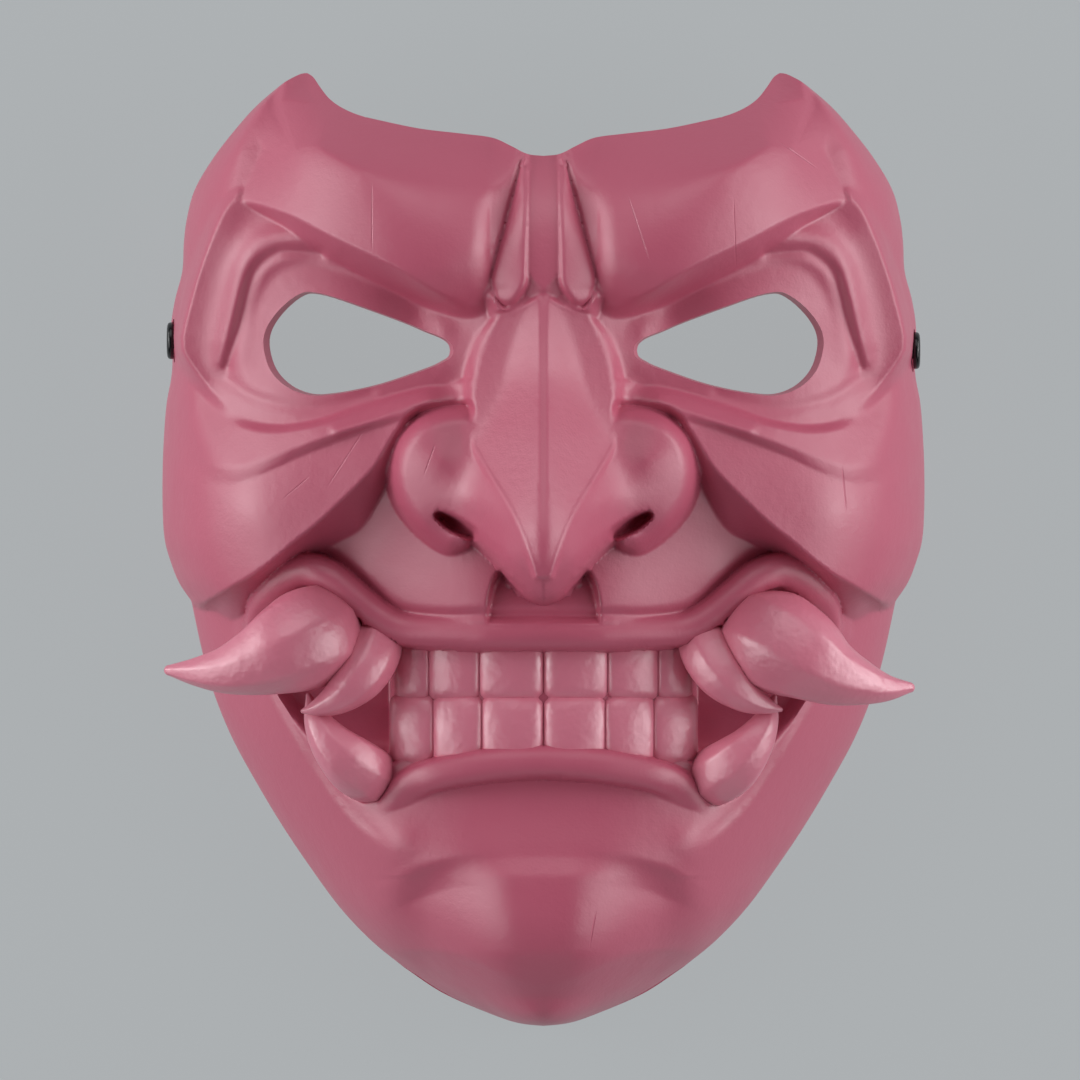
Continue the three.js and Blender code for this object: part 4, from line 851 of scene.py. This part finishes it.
# The hollow runs out past the forehead's edge, but stops short of the horns
OPEN_TOP = 9
HORN_ROOT = (50, 106)
EDGE_INSET = 0.5
HOLLOW_FOOT = -5.0


def rolled(heights, radius, sign):
    """Heights that a ball touches from above, or from below where the sign is -1."""
    reach = int(radius // INSIDE_CELL)
    padded = np.pad(heights, reach, mode="edge")
    best = np.full(heights.shape, -sign * 1e9)
    for dj in range(-reach, reach + 1):
        for di in range(-reach, reach + 1):
            across = (di * di + dj * dj) * INSIDE_CELL**2
            if across > radius * radius:
                continue
            rows, columns = reach + dj, reach + di
            part = padded[rows:rows + heights.shape[0], columns:columns + heights.shape[1]]
            part = part + sign * math.sqrt(radius * radius - across)
            best = np.maximum(best, part) if sign > 0 else np.minimum(best, part)
    return best


def top_edge(x):
    """How far up the forehead's edge lies."""
    return np.interp(x, TOP_EDGE[::-1, 0], TOP_EDGE[::-1, 1])


cell_y, cell_x = np.mgrid[-CELLS_UP:CELLS_UP + 1, -CELLS_ACROSS:CELLS_ACROSS + 1] * INSIDE_CELL
forehead_edge = top_edge(np.abs(cell_x)) - EDGE_INSET
above = (np.abs(cell_x) < HORN_ROOT[0]) & (cell_y > forehead_edge)
within = above | (depth_inside(np.abs(cell_x), cell_y, rim_and_middle(HALF_OUTLINE)) > 0)
seen = face(cell_x, np.where(above, forehead_edge, cell_y))
hollow = rolled(rolled(np.where(within, seen, NO_RESIN), INSIDE_BALL, -1), INSIDE_BALL - WALL, 1)


def inside_height(x, y):
    """The hollow's height, read off its raster."""
    u, v = x / INSIDE_CELL + CELLS_ACROSS, y / INSIDE_CELL + CELLS_UP
    i = np.clip(u.astype(int), 0, hollow.shape[1] - 2)
    j = np.clip(v.astype(int), 0, hollow.shape[0] - 2)
    s, t = np.clip(u - i, 0, 1), np.clip(v - j, 0, 1)
    row = hollow[j, i] * (1 - s) + hollow[j, i + 1] * s
    next_row = hollow[j + 1, i] * (1 - s) + hollow[j + 1, i + 1] * s
    return np.maximum(row * (1 - t) + next_row * t, rim_height(y) + 1)


side, side_left = paced(SIDE_EDGE, INSIDE_STEP)
side = side + side_left * WALL
deep = depth_inside(*side.T, rim_and_middle(HALF_OUTLINE)) > 0.9 * WALL
side = side[deep & (side[:, 0] > 2) & (side[:, 1] < HORN_ROOT[1])]
top = TOP_EDGE[(TOP_EDGE[:, 0] > 2) & (TOP_EDGE[:, 0] < HORN_ROOT[0])][::2]
inner_rim = np.vstack([
    [[0, CHIN_EDGE[0, 1] + WALL]], side, top + [0, OPEN_TOP], [[0, TOP_EDGE[-1, 1] + OPEN_TOP]]])
inside_points = (even(INSIDE_STEP), SCATTER_GAP * INSIDE_STEP)
ceiling = whole(*half_sheet(inner_rim, INNER_ROWS, INSIDE_STEP, [inside_points]))
floor_points = (even(UNDER_STEP), SCATTER_GAP * UNDER_STEP)
floor_sheet = whole(*half_sheet(inner_rim, [], UNDER_STEP, [floor_points]))
floor_height = np.full(len(floor_sheet[0]), HOLLOW_FOOT)
cut(shell, mesh_object("hollow", *block(ceiling, inside_height(*ceiling[0].T), floor_sheet, floor_height)))


def skin(rings, side_of_face=1):
    """Rings of equal count joined into a closed skin, with a fan over each end. Rings that were mirrored
    to the left side are run through backwards, so that the skin faces outwards."""
    rings = np.array(rings, float)[:, ::side_of_face]
    count = rings.shape[1]
    corners = []
    for r in range(len(rings) - 1):
        for k in range(count):
            a, b = r * count + k, r * count + (k + 1) % count
            corners += [(a, b, b + count), (a, b + count, a + count)]
    places = np.vstack([rings.reshape(-1, 3), rings[0].mean(axis=0), rings[-1].mean(axis=0)])
    first, last, end = len(places) - 2, len(places) - 1, (len(rings) - 1) * count
    for k in range(count):
        after = (k + 1) % count
        corners += [(first, after, k), (last, end + k, end + after)]
    return places, np.array(corners)


# Eye holes: wider at the front on the outer side. Each ring has its height, how much wider than the
# outline it is, and how far its outer end slides out.
EYE_HOLE = curve(
    [[25, 48.5], [25.4, 49.9], [27, 51.2], [30, 52.5], [35, 54.7], [45, 58.3], [53, 61.2], [57, 60.8],
     [63, 56], [65.5, 51], [64, 45], [60, 41], [55, 38.8], [50, 39], [40, 41.2], [30, 44.7], [27, 46.1],
     [25.4, 47.2], [25, 48.5]],
    5)[:-1][::-1]
EYE_MIDDLE = np.array([46, 50])
EYE_REACH = 16
EYE_SPREAD = [(10, 0.2, -1), (46, 0, 0), (90, 0.35, 9)]
outer_end = ease((EYE_HOLE[:, 0] - EYE_MIDDLE[0]) / EYE_REACH)
for side_of_face in (-1, 1):
    rings = []
    for z, grow, slide in EYE_SPREAD:
        x, y = (EYE_HOLE + grow * (EYE_HOLE - EYE_MIDDLE)).T
        rings.append(np.column_stack([side_of_face * (x + slide * outer_end), y, np.full(len(x), z)]))
    cut(shell, mesh_object("eye", *skin(rings, side_of_face)))

# Seats for the strap studs in the edges of the temples, from floor to mouth in distances out from the
# face's middle. The viewer's left one sits a little higher.
SEAT_FLOOR = 89.9
SEAT_MOUTH = 100
SEAT_RADIUS = 5.3
STUD_Z = 13
STUD_Y = {-1: 51, 1: 48.6}
STUD_SIDES = 48


def round_skin(profile, side_of_face):
    """A turned skin about the stud's line on one side, from a profile of distance out and radius."""
    angle = np.arange(STUD_SIDES) * 2 * math.pi / STUD_SIDES
    rings = []
    for x, radius in profile:
        y, z = STUD_Y[side_of_face] + radius * np.cos(angle), STUD_Z + radius * np.sin(angle)
        rings.append(np.column_stack([np.full(STUD_SIDES, side_of_face * x), y, z]))
    return skin(rings, side_of_face)


for side_of_face in STUD_Y:
    seat = round_skin([(SEAT_FLOOR, SEAT_RADIUS), (SEAT_MOUTH, SEAT_RADIUS)], side_of_face)
    cut(shell, mesh_object("seat", *seat))

# Edges that turn further than this stay sharp in the shading
CUT_EDGE = math.radians(55)
shell.data.shade_smooth()
shell.data.set_sharp_from_angle(angle=CUT_EDGE)
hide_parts("mask")
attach(shell, "root")


def linear(hex_colour):
    """An sRGB hex colour as the linear numbers that a shader takes."""
    levels = [int(hex_colour[k:k + 2], 16) / 255 for k in (1, 3, 5)]
    return [*(v / 12.92 if v <= 0.04045 else ((v + 0.055) / 1.055)**2.4 for v in levels), 1]


def add_node(tree, kind, links=(), **settings):
    """A node with its settings, and its inputs set to values or joined to sources. A source is an output,
    or a node, which stands for its first output."""
    node = tree.nodes.new(kind)
    for name, value in settings.items():
        setattr(node, name, value)
    for socket, source in links:
        if isinstance(source, bpy.types.Node):
            source = source.outputs[0]
        if isinstance(source, bpy.types.NodeSocket):
            tree.links.new(source, node.inputs[socket])
        else:
            node.inputs[socket].default_value = source
    return node


def empty_material(name):
    material = bpy.data.materials.new(name)
    material.use_nodes = True
    material.node_tree.nodes.clear()
    return material


# Satin urethane lacquer over the cast resin, rubbed down by hand. The eye sees an even rose red with
# a broad soft shine, a fine orange peel in it, faint rubbing marks and a few scratches.
LACQUER_ROSE = "#bf5b74"
LACQUER_DEEP = "#b9566f"
LACQUER_IOR = 1.7
LACQUER_ROUGHNESS = 0.43
LACQUER_PEEL = 0.45
LACQUER_WAVE = 0.12
# Each scratch's middle, its length and its direction, as x, y, millimetres and degrees
SCRATCHES = [
    (-48, 22, 17, 57), (-27.5, 22, 8.5, 70), (-41.5, 81, 18, 90), (46.3, 77, 18, 92), (61.5, 96, 13, -35),
    (23, 78, 20, 108), (73, 15, 12, -84), (-60, 15, 9, 40), (12, -92, 10, 80)]
SCRATCH_HALF_WIDTH = 0.2


def lacquer(name, light, dark, ior, roughness, peel, wave, scratches=()):
    """Two near shades in broad clouds, under a coat whose marks are bumps. A noise's scale is its cells
    in a metre, so 1600 is one in every 0.6 mm."""
    material = empty_material(name)
    tree = material.node_tree
    place = add_node(tree, "ShaderNodeTexCoord").outputs["Object"]
    cloud = add_node(tree, "ShaderNodeTexNoise", [("Vector", place), ("Scale", 28), ("Detail", 3)])
    colour = add_node(
        tree, "ShaderNodeMix", [("Factor", cloud), (6, linear(light)), (7, linear(dark))], data_type="RGBA")
    # Handling leaves patches 11 mm across a little duller than the rest
    dirt = add_node(tree, "ShaderNodeTexNoise", [("Vector", place), ("Scale", 90), ("Detail", 4)])
    shine = add_node(
        tree, "ShaderNodeMapRange",
        [("Value", dirt), ("From Min", 0.3), ("From Max", 0.7), ("To Min", roughness - 0.04),
         ("To Max", roughness + 0.05)])
    # Rubbing marks follow the sanding stroke across the face, 0.4 mm apart
    stroke = add_node(tree, "ShaderNodeMapping", [("Vector", place), ("Scale", (60, 2400, 400))])
    rubbed = add_node(tree, "ShaderNodeTexNoise", [("Vector", stroke), ("Scale", 1), ("Detail", 3)])
    bump = add_node(tree, "ShaderNodeBump", [("Height", rubbed), ("Strength", 0.12), ("Distance", 0.0001)])
    # Orange peel is 0.3 mm across on the mask: it is drawn at 0.6 mm so that it shows
    orange_peel = add_node(tree, "ShaderNodeTexNoise", [("Vector", place), ("Scale", 1600), ("Detail", 2)])
    bump = add_node(
        tree, "ShaderNodeBump",
        [("Height", orange_peel), ("Strength", peel), ("Distance", 0.0001), ("Normal", bump)])
    # Brush waves, 2 mm across, stand in the thick coat
    waves = add_node(tree, "ShaderNodeTexNoise", [("Vector", place), ("Scale", 420), ("Detail", 1)])
    bump = add_node(
        tree, "ShaderNodeBump",
        [("Height", waves), ("Strength", wave), ("Distance", 0.0006), ("Normal", bump)])
    for x, y, length, turn in scratches:
        angle = math.radians(turn)
        c, s = math.cos(angle), math.sin(angle)
        centre = (-(c * x + s * y) * SCALE, -(-s * x + c * y) * SCALE, 0)
        local = add_node(
            tree, "ShaderNodeMapping",
            [("Vector", place), ("Location", centre), ("Rotation", (0, 0, -angle))])
        apart = add_node(tree, "ShaderNodeSeparateXYZ", [(0, local)])
        along = add_node(tree, "ShaderNodeMath", [(0, apart.outputs["X"])], operation="ABSOLUTE")
        fade = add_node(
            tree, "ShaderNodeMapRange",
            [("Value", along), ("From Min", length * SCALE / 2), ("From Max", length * SCALE / 4)])
        across = add_node(tree, "ShaderNodeMath", [(0, apart.outputs["Y"])], operation="ABSOLUTE")
        line = add_node(
            tree, "ShaderNodeMapRange",
            [("Value", across), ("From Min", SCRATCH_HALF_WIDTH * SCALE), ("From Max", 0)])
        depth = add_node(tree, "ShaderNodeMath", [(0, line), (1, fade)], operation="MULTIPLY")
        bump = add_node(
            tree, "ShaderNodeBump",
            [("Height", depth), ("Strength", 0.5), ("Distance", 0.0002), ("Normal", bump)], invert=True)
    shader = add_node(
        tree, "ShaderNodeBsdfPrincipled",
        [("Base Color", colour.outputs[2]), ("IOR", ior), ("Roughness", shine), ("Normal", bump)])
    add_node(tree, "ShaderNodeOutputMaterial", [("Surface", shader)])
    return material


satin_lacquer = lacquer(
    "satin urethane lacquer", LACQUER_ROSE, LACQUER_DEEP, LACQUER_IOR, LACQUER_ROUGHNESS, LACQUER_PEEL,
    LACQUER_WAVE, SCRATCHES)
shell.data.materials.clear()
shell.data.materials.append(satin_lacquer)


# Teeth.
# Twelve square teeth in two rows, cast with the shell and standing on the floor of its mouth. They
# got a glossier coat, brushed on after the rows were picked out with a knife.
UPPER_TEETH = [(0.35, 15.6), (15.6, 27.9), (27.9, 35.6)]
LOWER_TEETH = [(0.35, 15.0), (15.0, 26.8), (26.8, 36.9)]
UPPER_TOOTH_Y = (-35.9, -21.5)
LOWER_TOOTH_Y = (-51.5, -35.7)
TOOTH_DEPTH = 11
TOOTH_SQUARE = 8.0
TOOTH_BULGE = 0.22
TOOTH_OVERLAP = 0.55
TOOTH_CELLS = 21
# The same urethane laid on thick and left as brushed: it is glossier, with waves in its shine. Its two
# shades are painted paler than the shell's. This is painted light, which makes the teeth and tusks look
# more brightly lit than the shaded mouth lets them be.
GLOSS_ROSE_PAINTED_LIGHTER = "#da7d93"
GLOSS_DEEP_PAINTED_LIGHTER = "#d2748b"
GLOSS_IOR = 1.9
GLOSS_ROUGHNESS = 0.36
GLOSS_PEEL = 0.3
GLOSS_WAVE = 0.35
# The coat's paler colour is painted light, not a paler paint on the real teeth
gloss_lacquer_painted_lighter = lacquer(
    "gloss lacquer over teeth, painted lighter", GLOSS_ROSE_PAINTED_LIGHTER, GLOSS_DEEP_PAINTED_LIGHTER, GLOSS_IOR, GLOSS_ROUGHNESS, GLOSS_PEEL,
    GLOSS_WAVE)


def tooth_tree():
    """A rounded block on every point, as large as the point says, then bent along the arch."""
    tree = bpy.data.node_groups.new("teeth", "GeometryNodeTree")
    tree.interface.new_socket("Geometry", in_out="INPUT", socket_type="NodeSocketGeometry")
    for name, kind in (("Squareness", "Float"), ("Bulge", "Float"), ("Arch", "Float"), ("Cells", "Int"),
                       ("Coat", "Material")):
        tree.interface.new_socket(name, in_out="INPUT", socket_type="NodeSocket" + kind)
    tree.interface.new_socket("Geometry", in_out="OUTPUT", socket_type="NodeSocketGeometry")
    given = add_node(tree, "NodeGroupInput").outputs
    cells = given["Cells"]
    cube = add_node(
        tree, "GeometryNodeMeshCube",
        [("Size", (2, 2, 2)), ("Vertices X", cells), ("Vertices Y", cells), ("Vertices Z", cells)])
    position = add_node(tree, "GeometryNodeInputPosition")
    # The block is drawn in until |x|, |y| and |z| to the power of its squareness add up to 1
    size = add_node(tree, "ShaderNodeVectorMath", [(0, position)], operation="ABSOLUTE")
    powers = [add_node(tree, "ShaderNodeMath", [(0, part), (1, given["Squareness"])], operation="POWER")
              for part in add_node(tree, "ShaderNodeSeparateXYZ", [(0, size)]).outputs]
    total = add_node(tree, "ShaderNodeMath", [(0, powers[0]), (1, powers[1])], operation="ADD")
    total = add_node(tree, "ShaderNodeMath", [(0, total), (1, powers[2])], operation="ADD")
    root = add_node(tree, "ShaderNodeMath", [(0, -1.0), (1, given["Squareness"])], operation="DIVIDE")
    shrink = add_node(tree, "ShaderNodeMath", [(0, total), (1, root)], operation="POWER")
    rounded = add_node(
        tree, "ShaderNodeVectorMath", [(0, position), ("Scale", shrink)], operation="SCALE")
    # Its front is domed by a share of the square of the distance from the middle
    parts = add_node(tree, "ShaderNodeSeparateXYZ", [(0, position)]).outputs
    squares = [add_node(tree, "ShaderNodeMath", [(0, part), (1, 2.0)], operation="POWER")
               for part in parts[:2]]
    total = add_node(tree, "ShaderNodeMath", [(0, squares[0]), (1, squares[1])], operation="ADD")
    drop = add_node(tree, "ShaderNodeMath", [(0, total), (1, given["Bulge"])], operation="MULTIPLY")
    dome = add_node(tree, "ShaderNodeCombineXYZ", [("Z", drop)])
    tooth = add_node(
        tree, "GeometryNodeSetPosition", [("Geometry", cube), ("Position", rounded), ("Offset", dome)])
    half_size = add_node(
        tree, "GeometryNodeInputNamedAttribute", [("Name", "half size")],
        data_type="FLOAT_VECTOR").outputs["Attribute"]
    placed = add_node(
        tree, "GeometryNodeInstanceOnPoints",
        [("Points", given["Geometry"]), ("Instance", tooth), ("Scale", half_size)])
    real = add_node(tree, "GeometryNodeRealizeInstances", [("Geometry", placed)])
    # The rows bend back with the square of the distance from the face's middle
    position = add_node(tree, "GeometryNodeInputPosition")
    across = add_node(tree, "ShaderNodeSeparateXYZ", [(0, position)])
    square = add_node(tree, "ShaderNodeMath", [(0, across), (1, 2.0)], operation="POWER")
    fall = add_node(tree, "ShaderNodeMath", [(0, square), (1, given["Arch"])], operation="MULTIPLY")
    offset = add_node(tree, "ShaderNodeCombineXYZ", [("Z", fall)])
    bent = add_node(tree, "GeometryNodeSetPosition", [("Geometry", real), ("Offset", offset)])
    smooth = add_node(tree, "GeometryNodeSetShadeSmooth", [("Geometry", bent)])
    coated = add_node(
        tree, "GeometryNodeSetMaterial", [("Geometry", smooth), ("Material", given["Coat"])])
    add_node(tree, "NodeGroupOutput", [("Geometry", coated)])
    return tree


middles, half_sizes = [], []
for row, (low_y, high_y) in ((UPPER_TEETH, UPPER_TOOTH_Y), (LOWER_TEETH, LOWER_TOOTH_Y)):
    for inner, outer in row:
        half_width_and_height = (outer - inner) / 2 + TOOTH_OVERLAP, (high_y - low_y) / 2 + TOOTH_OVERLAP
        for side_of_face in (-1, 1):
            middle_x = side_of_face * (inner + outer) / 2
            middles.append((middle_x, (low_y + high_y) / 2, TOOTH_FRONT - TOOTH_DEPTH / 2))
            half_sizes.append((*half_width_and_height, TOOTH_DEPTH / 2))
teeth = mesh_object("mask_teeth", np.array(middles), np.zeros((0, 3), int))
sizes = teeth.data.attributes.new("half size", "FLOAT_VECTOR", "POINT")
sizes.data.foreach_set("vector", (np.array(half_sizes) * SCALE).ravel())
growth = teeth.modifiers.new("teeth", "NODES")
growth.node_group = tooth_tree()
inputs = {item.name: item.identifier for item in growth.node_group.interface.items_tree
          if item.in_out == "INPUT"}
for name, value in (("Squareness", TOOTH_SQUARE), ("Bulge", -TOOTH_BULGE), ("Arch", -TOOTH_ARCH / SCALE),
                    ("Cells", TOOTH_CELLS), ("Coat", gloss_lacquer_painted_lighter)):
    growth[inputs[name]] = value
settle(teeth)
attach(teeth, "root")


# Tusks.
# Two large tusks, two canines and two lower tusks, cast with the shell. The right large tusk hangs
# lower than the left one. They got the teeth's glossier coat, laid on along their length.
TUSK_SIDES = 56
TUSK_STEPS = 10
TUSKS = {
    "mask_tusk_left": [
        [-50.5, -19, 42, 9, 9], [-56, -20.8, 54, 12.2, 11.5], [-63, -24, 58.6, 11, 10.5],
        [-70, -27, 58.8, 8.4, 8.4], [-77, -29, 57.4, 5.9, 6], [-84, -29.5, 55.2, 3.6, 3.7],
        [-90.8, -29.2, 52.6, 1.3, 1.3]],
    "mask_tusk_right": [
        [49.5, -19.5, 42, 9, 9], [55, -21.8, 54, 12.2, 11.5], [62.5, -25.6, 58.6, 11.2, 10.5],
        [70, -29.9, 58.8, 8.2, 8.4], [77, -32.3, 57.4, 5.6, 5.8], [83, -33.5, 55.4, 3.4, 3.5],
        [88.8, -33.4, 53, 1.3, 1.3]],
    "mask_canine_left": [
        [-39.5, -17, 44, 5, 5.5], [-41, -23.5, 52, 6.6, 6.5], [-44.5, -30.2, 56.5, 6.3, 6.2],
        [-49.5, -35.4, 57.2, 4.4, 4.6], [-54.5, -38.1, 56.4, 2.3, 2.5], [-58.3, -39.1, 55.2, 0.6, 0.7]],
    "mask_canine_right": [
        [38, -17, 44, 5, 5.5], [39.5, -23.5, 52, 6.8, 6.5], [43.5, -30.2, 56.5, 6.4, 6.2],
        [48.7, -35.2, 57.2, 4.4, 4.6], [53.6, -37.7, 56.4, 2.3, 2.5], [57.4, -38.7, 55.2, 0.6, 0.7]],
    "mask_lower_tusk_left": [
        [-40.5, -55.6, 36, 6, 5], [-42.2, -54.6, 47.5, 6.9, 5.6], [-46.6, -51.6, 52.4, 6.8, 5.4],
        [-51.5, -46.7, 53.8, 5.2, 4.8], [-55, -41.2, 52.8, 3.2, 3.4], [-57, -35.4, 51, 0.7, 0.8]],
    "mask_lower_tusk_right": [
        [39.9, -56.2, 36, 6, 5], [41.6, -55.2, 47.5, 7, 5.6], [46, -52.2, 52.4, 6.9, 5.4],
        [50.7, -47.2, 53.8, 5.2, 4.8], [54, -41.6, 52.8, 3.2, 3.4], [56, -35.8, 51, 0.7, 0.8]],
}
# The tip is closed by a round cap of rings at these angles, in degrees
CAP_ANGLES = [20, 40, 60, 78]
# The tusks were whittled with a knife, which left broad soft facets along them
KNIFE_CUTS = 7
CUT_SHARE = 0.45


def tusk_rings(points):
    """Rings along a curved line whose columns are x, y, z, width and thickness, with a round tip."""
    route = curve(points, TUSK_STEPS)
    ahead = np.gradient(route[:, :3], axis=0)
    ahead /= np.linalg.norm(ahead, axis=1)[:, None]
    tip, tip_ahead, radius = route[-1], ahead[-1], route[-1, 3]
    cap = [np.concatenate([tip[:3] + tip_ahead * radius * math.sin(t), tip[3:] * math.cos(t)])
           for t in np.radians(CAP_ANGLES)]
    route = np.vstack([route, cap])
    ahead = np.vstack([ahead, [tip_ahead] * len(cap)])
    angle = np.arange(TUSK_SIDES) * 2 * math.pi / TUSK_SIDES
    facet_angle = 2 * math.pi / KNIFE_CUTS
    facet = math.cos(facet_angle / 2) / np.cos(np.mod(angle, facet_angle) - facet_angle / 2)
    section = 1 + CUT_SHARE * (facet / facet.mean() - 1)
    rings = []
    for place, direction in zip(route, ahead):
        across = np.cross([0, 0, 1], direction)
        across /= np.linalg.norm(across)
        out = np.cross(direction, across)
        rings.append(
            place[:3] + place[3] * (section * np.cos(angle))[:, None] * across
            + place[4] * (section * np.sin(angle))[:, None] * out)
    return rings


for name, points in TUSKS.items():
    tusk = mesh_object(name, *skin(tusk_rings(points)))
    tusk.data.shade_smooth()
    tusk.data.materials.append(gloss_lacquer_painted_lighter)
    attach(tusk, "root")


# Strap studs.
# A pressed steel stud at each temple, black enamelled, set through the shell to hold an elastic strap.
# Its head and its plain shank are turned as one form.
STUD_FOOT = 90.2
STUD_PROFILE = [
    (-6.3, 2), (0, 2), (0, 4.3), (0.2, 4.5), (0.9, 4.5), (1.3, 4.3), (1.55, 3.8), (1.65, 3), (1.7, 1.5),
    (1.7, 0.2)]
# Enamel dipped and baked on steel: the eye sees a deep gloss black, uneven where the coat has pooled
ENAMEL_BLACK = "#0d0e11"
ENAMEL_IOR = 1.52
enamel = empty_material("black enamel on steel")
coat = enamel.node_tree
pooled = add_node(
    coat, "ShaderNodeTexNoise",
    [("Vector", add_node(coat, "ShaderNodeTexCoord").outputs["Object"]), ("Scale", 500), ("Detail", 2)])
coat_shine = add_node(coat, "ShaderNodeMapRange", [("Value", pooled), ("To Min", 0.16), ("To Max", 0.3)])
coat_bump = add_node(coat, "ShaderNodeBump", [("Height", pooled), ("Strength", 0.1), ("Distance", 0.0001)])
coat_shader = add_node(
    coat, "ShaderNodeBsdfPrincipled",
    [("Base Color", linear(ENAMEL_BLACK)), ("IOR", ENAMEL_IOR), ("Roughness", coat_shine),
     ("Normal", coat_bump)])
add_node(coat, "ShaderNodeOutputMaterial", [("Surface", coat_shader)])
for side_of_face, node in ((-1, "strap_stud_left"), (1, "strap_stud_right")):
    profile = [(STUD_FOOT + x, radius) for x, radius in STUD_PROFILE]
    stud = mesh_object(node + "_pressed", *round_skin(profile, side_of_face))
    stud.data.shade_smooth()
    stud.data.set_sharp_from_angle(angle=CUT_EDGE)
    stud.data.materials.append(enamel)
    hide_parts(node)
    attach(stud, "root")


# Floor, light and camera.
# The mask lies on a sheet of pale grey acrylic that is lit from below. Two softboxes stand low at its
# sides and two higher, one over its forehead and one under its chin, and the camera looks straight down.
FLOOR_HALF_WIDTH = 8
# The sheet is frosted, so that nothing mirrors in it and the eye sees an even pale grey: its glow's grey
# over the shade of the sheet itself. The glow is strongest under the mask and fades with the distance
# from it, in metres.
FLOOR_GREY = "#aeb2b4"
FLOOR_SHADE = "#404244"
FLOOR_ROUGHNESS = 0.9
FLOOR_GLOW = 0.9
FLOOR_GLOW_FAR = 0.5
GLOW_NEAR = 0.19
GLOW_FAR = 0.7
acrylic = bpy.data.materials.new("pale grey acrylic lit from below")
acrylic.use_nodes = True
acrylic_tree = acrylic.node_tree
acrylic_shader = acrylic_tree.nodes["Principled BSDF"]
floor_place = add_node(acrylic_tree, "ShaderNodeTexCoord").outputs["Object"]
from_middle = add_node(acrylic_tree, "ShaderNodeVectorMath", [(0, floor_place)], operation="LENGTH")
glow = add_node(
    acrylic_tree, "ShaderNodeMapRange",
    [("Value", from_middle.outputs["Value"]), ("From Min", GLOW_NEAR), ("From Max", GLOW_FAR),
     ("To Min", FLOOR_GLOW), ("To Max", FLOOR_GLOW_FAR)])
acrylic_tree.links.new(glow.outputs[0], acrylic_shader.inputs["Emission Strength"])
acrylic_shader.inputs["Base Color"].default_value = linear(FLOOR_SHADE)
acrylic_shader.inputs["Emission Color"].default_value = linear(FLOOR_GREY)
acrylic_shader.inputs["Specular IOR Level"].default_value = 0.0
acrylic_shader.inputs["Roughness"].default_value = FLOOR_ROUGHNESS
ground = bpy.data.meshes.new("floor")
far = FLOOR_HALF_WIDTH
ground.from_pydata([(-far, -far, 0), (far, -far, 0), (far, far, 0), (-far, far, 0)], [], [(0, 1, 2, 3)])
ground.materials.append(acrylic)
ground_object = bpy.data.objects.new("floor", ground)
bpy.context.scene.collection.objects.link(ground_object)

SOFTBOX_SIDE = 1.3
SOFTBOX_DISTANCE = 1.6
AIM = Vector((0, 0, 0.04))
# Each softbox stands at an angle round the mask and an angle over the floor, in degrees, with its watts
SOFTBOXES = {
    "left_low": (160, 8, 19), "left_high": (190, 28, 11.5), "right_low": (20, 8, 18.5),
    "right_high": (-10, 30, 11.5), "forehead": (90, 38, 7), "chin": (270, 18, 2)}
for name, (round_mask, over_floor, watts) in SOFTBOXES.items():
    lamp = bpy.data.lights.new("softbox_" + name, "AREA")
    lamp.shape = "SQUARE"
    lamp.size = SOFTBOX_SIDE
    lamp.energy = watts
    softbox = bpy.data.objects.new("softbox_" + name, lamp)
    a, e = math.radians(round_mask), math.radians(over_floor)
    outward = Vector((math.cos(a) * math.cos(e), math.sin(a) * math.cos(e), math.sin(e)))
    softbox.location = AIM + outward * SOFTBOX_DISTANCE
    softbox.rotation_euler = (-outward).to_track_quat("-Z", "Y").to_euler()
    bpy.context.scene.collection.objects.link(softbox)

STUDIO_GREY = "#c8cbd6"
STUDIO_STRENGTH = 0.02
world = bpy.data.worlds.new("studio")
world.use_nodes = True
background = world.node_tree.nodes["Background"]
background.inputs["Color"].default_value = linear(STUDIO_GREY)
background.inputs["Strength"].default_value = STUDIO_STRENGTH
bpy.context.scene.world = world

# A long lens far above the mask. The frame is as wide as the photograph at the height of SCALE_PLANE
# over the rim, at 0.2432 mm for each of its 1080 pixels.
CAMERA_HEIGHT = 8.0
CAMERA_SENSOR = 36
CAMERA_REACH = 30
FRAME_SIDE = 1080 * 0.2432
SCALE_PLANE = 35
CAMERA_X = -0.85
CAMERA_Y = 2.4
camera_data = bpy.data.cameras.new("camera")
camera_data.sensor_width = CAMERA_SENSOR
camera_data.lens = CAMERA_SENSOR * (CAMERA_HEIGHT - SCALE_PLANE * SCALE) / (FRAME_SIDE * SCALE)
camera_data.clip_end = CAMERA_REACH
camera = bpy.data.objects.new("camera", camera_data)
camera.location = (CAMERA_X * SCALE, CAMERA_Y * SCALE, CAMERA_HEIGHT)
bpy.context.scene.collection.objects.link(camera)
bpy.context.scene.camera = camera
bpy.context.scene.view_settings.view_transform = "Standard"
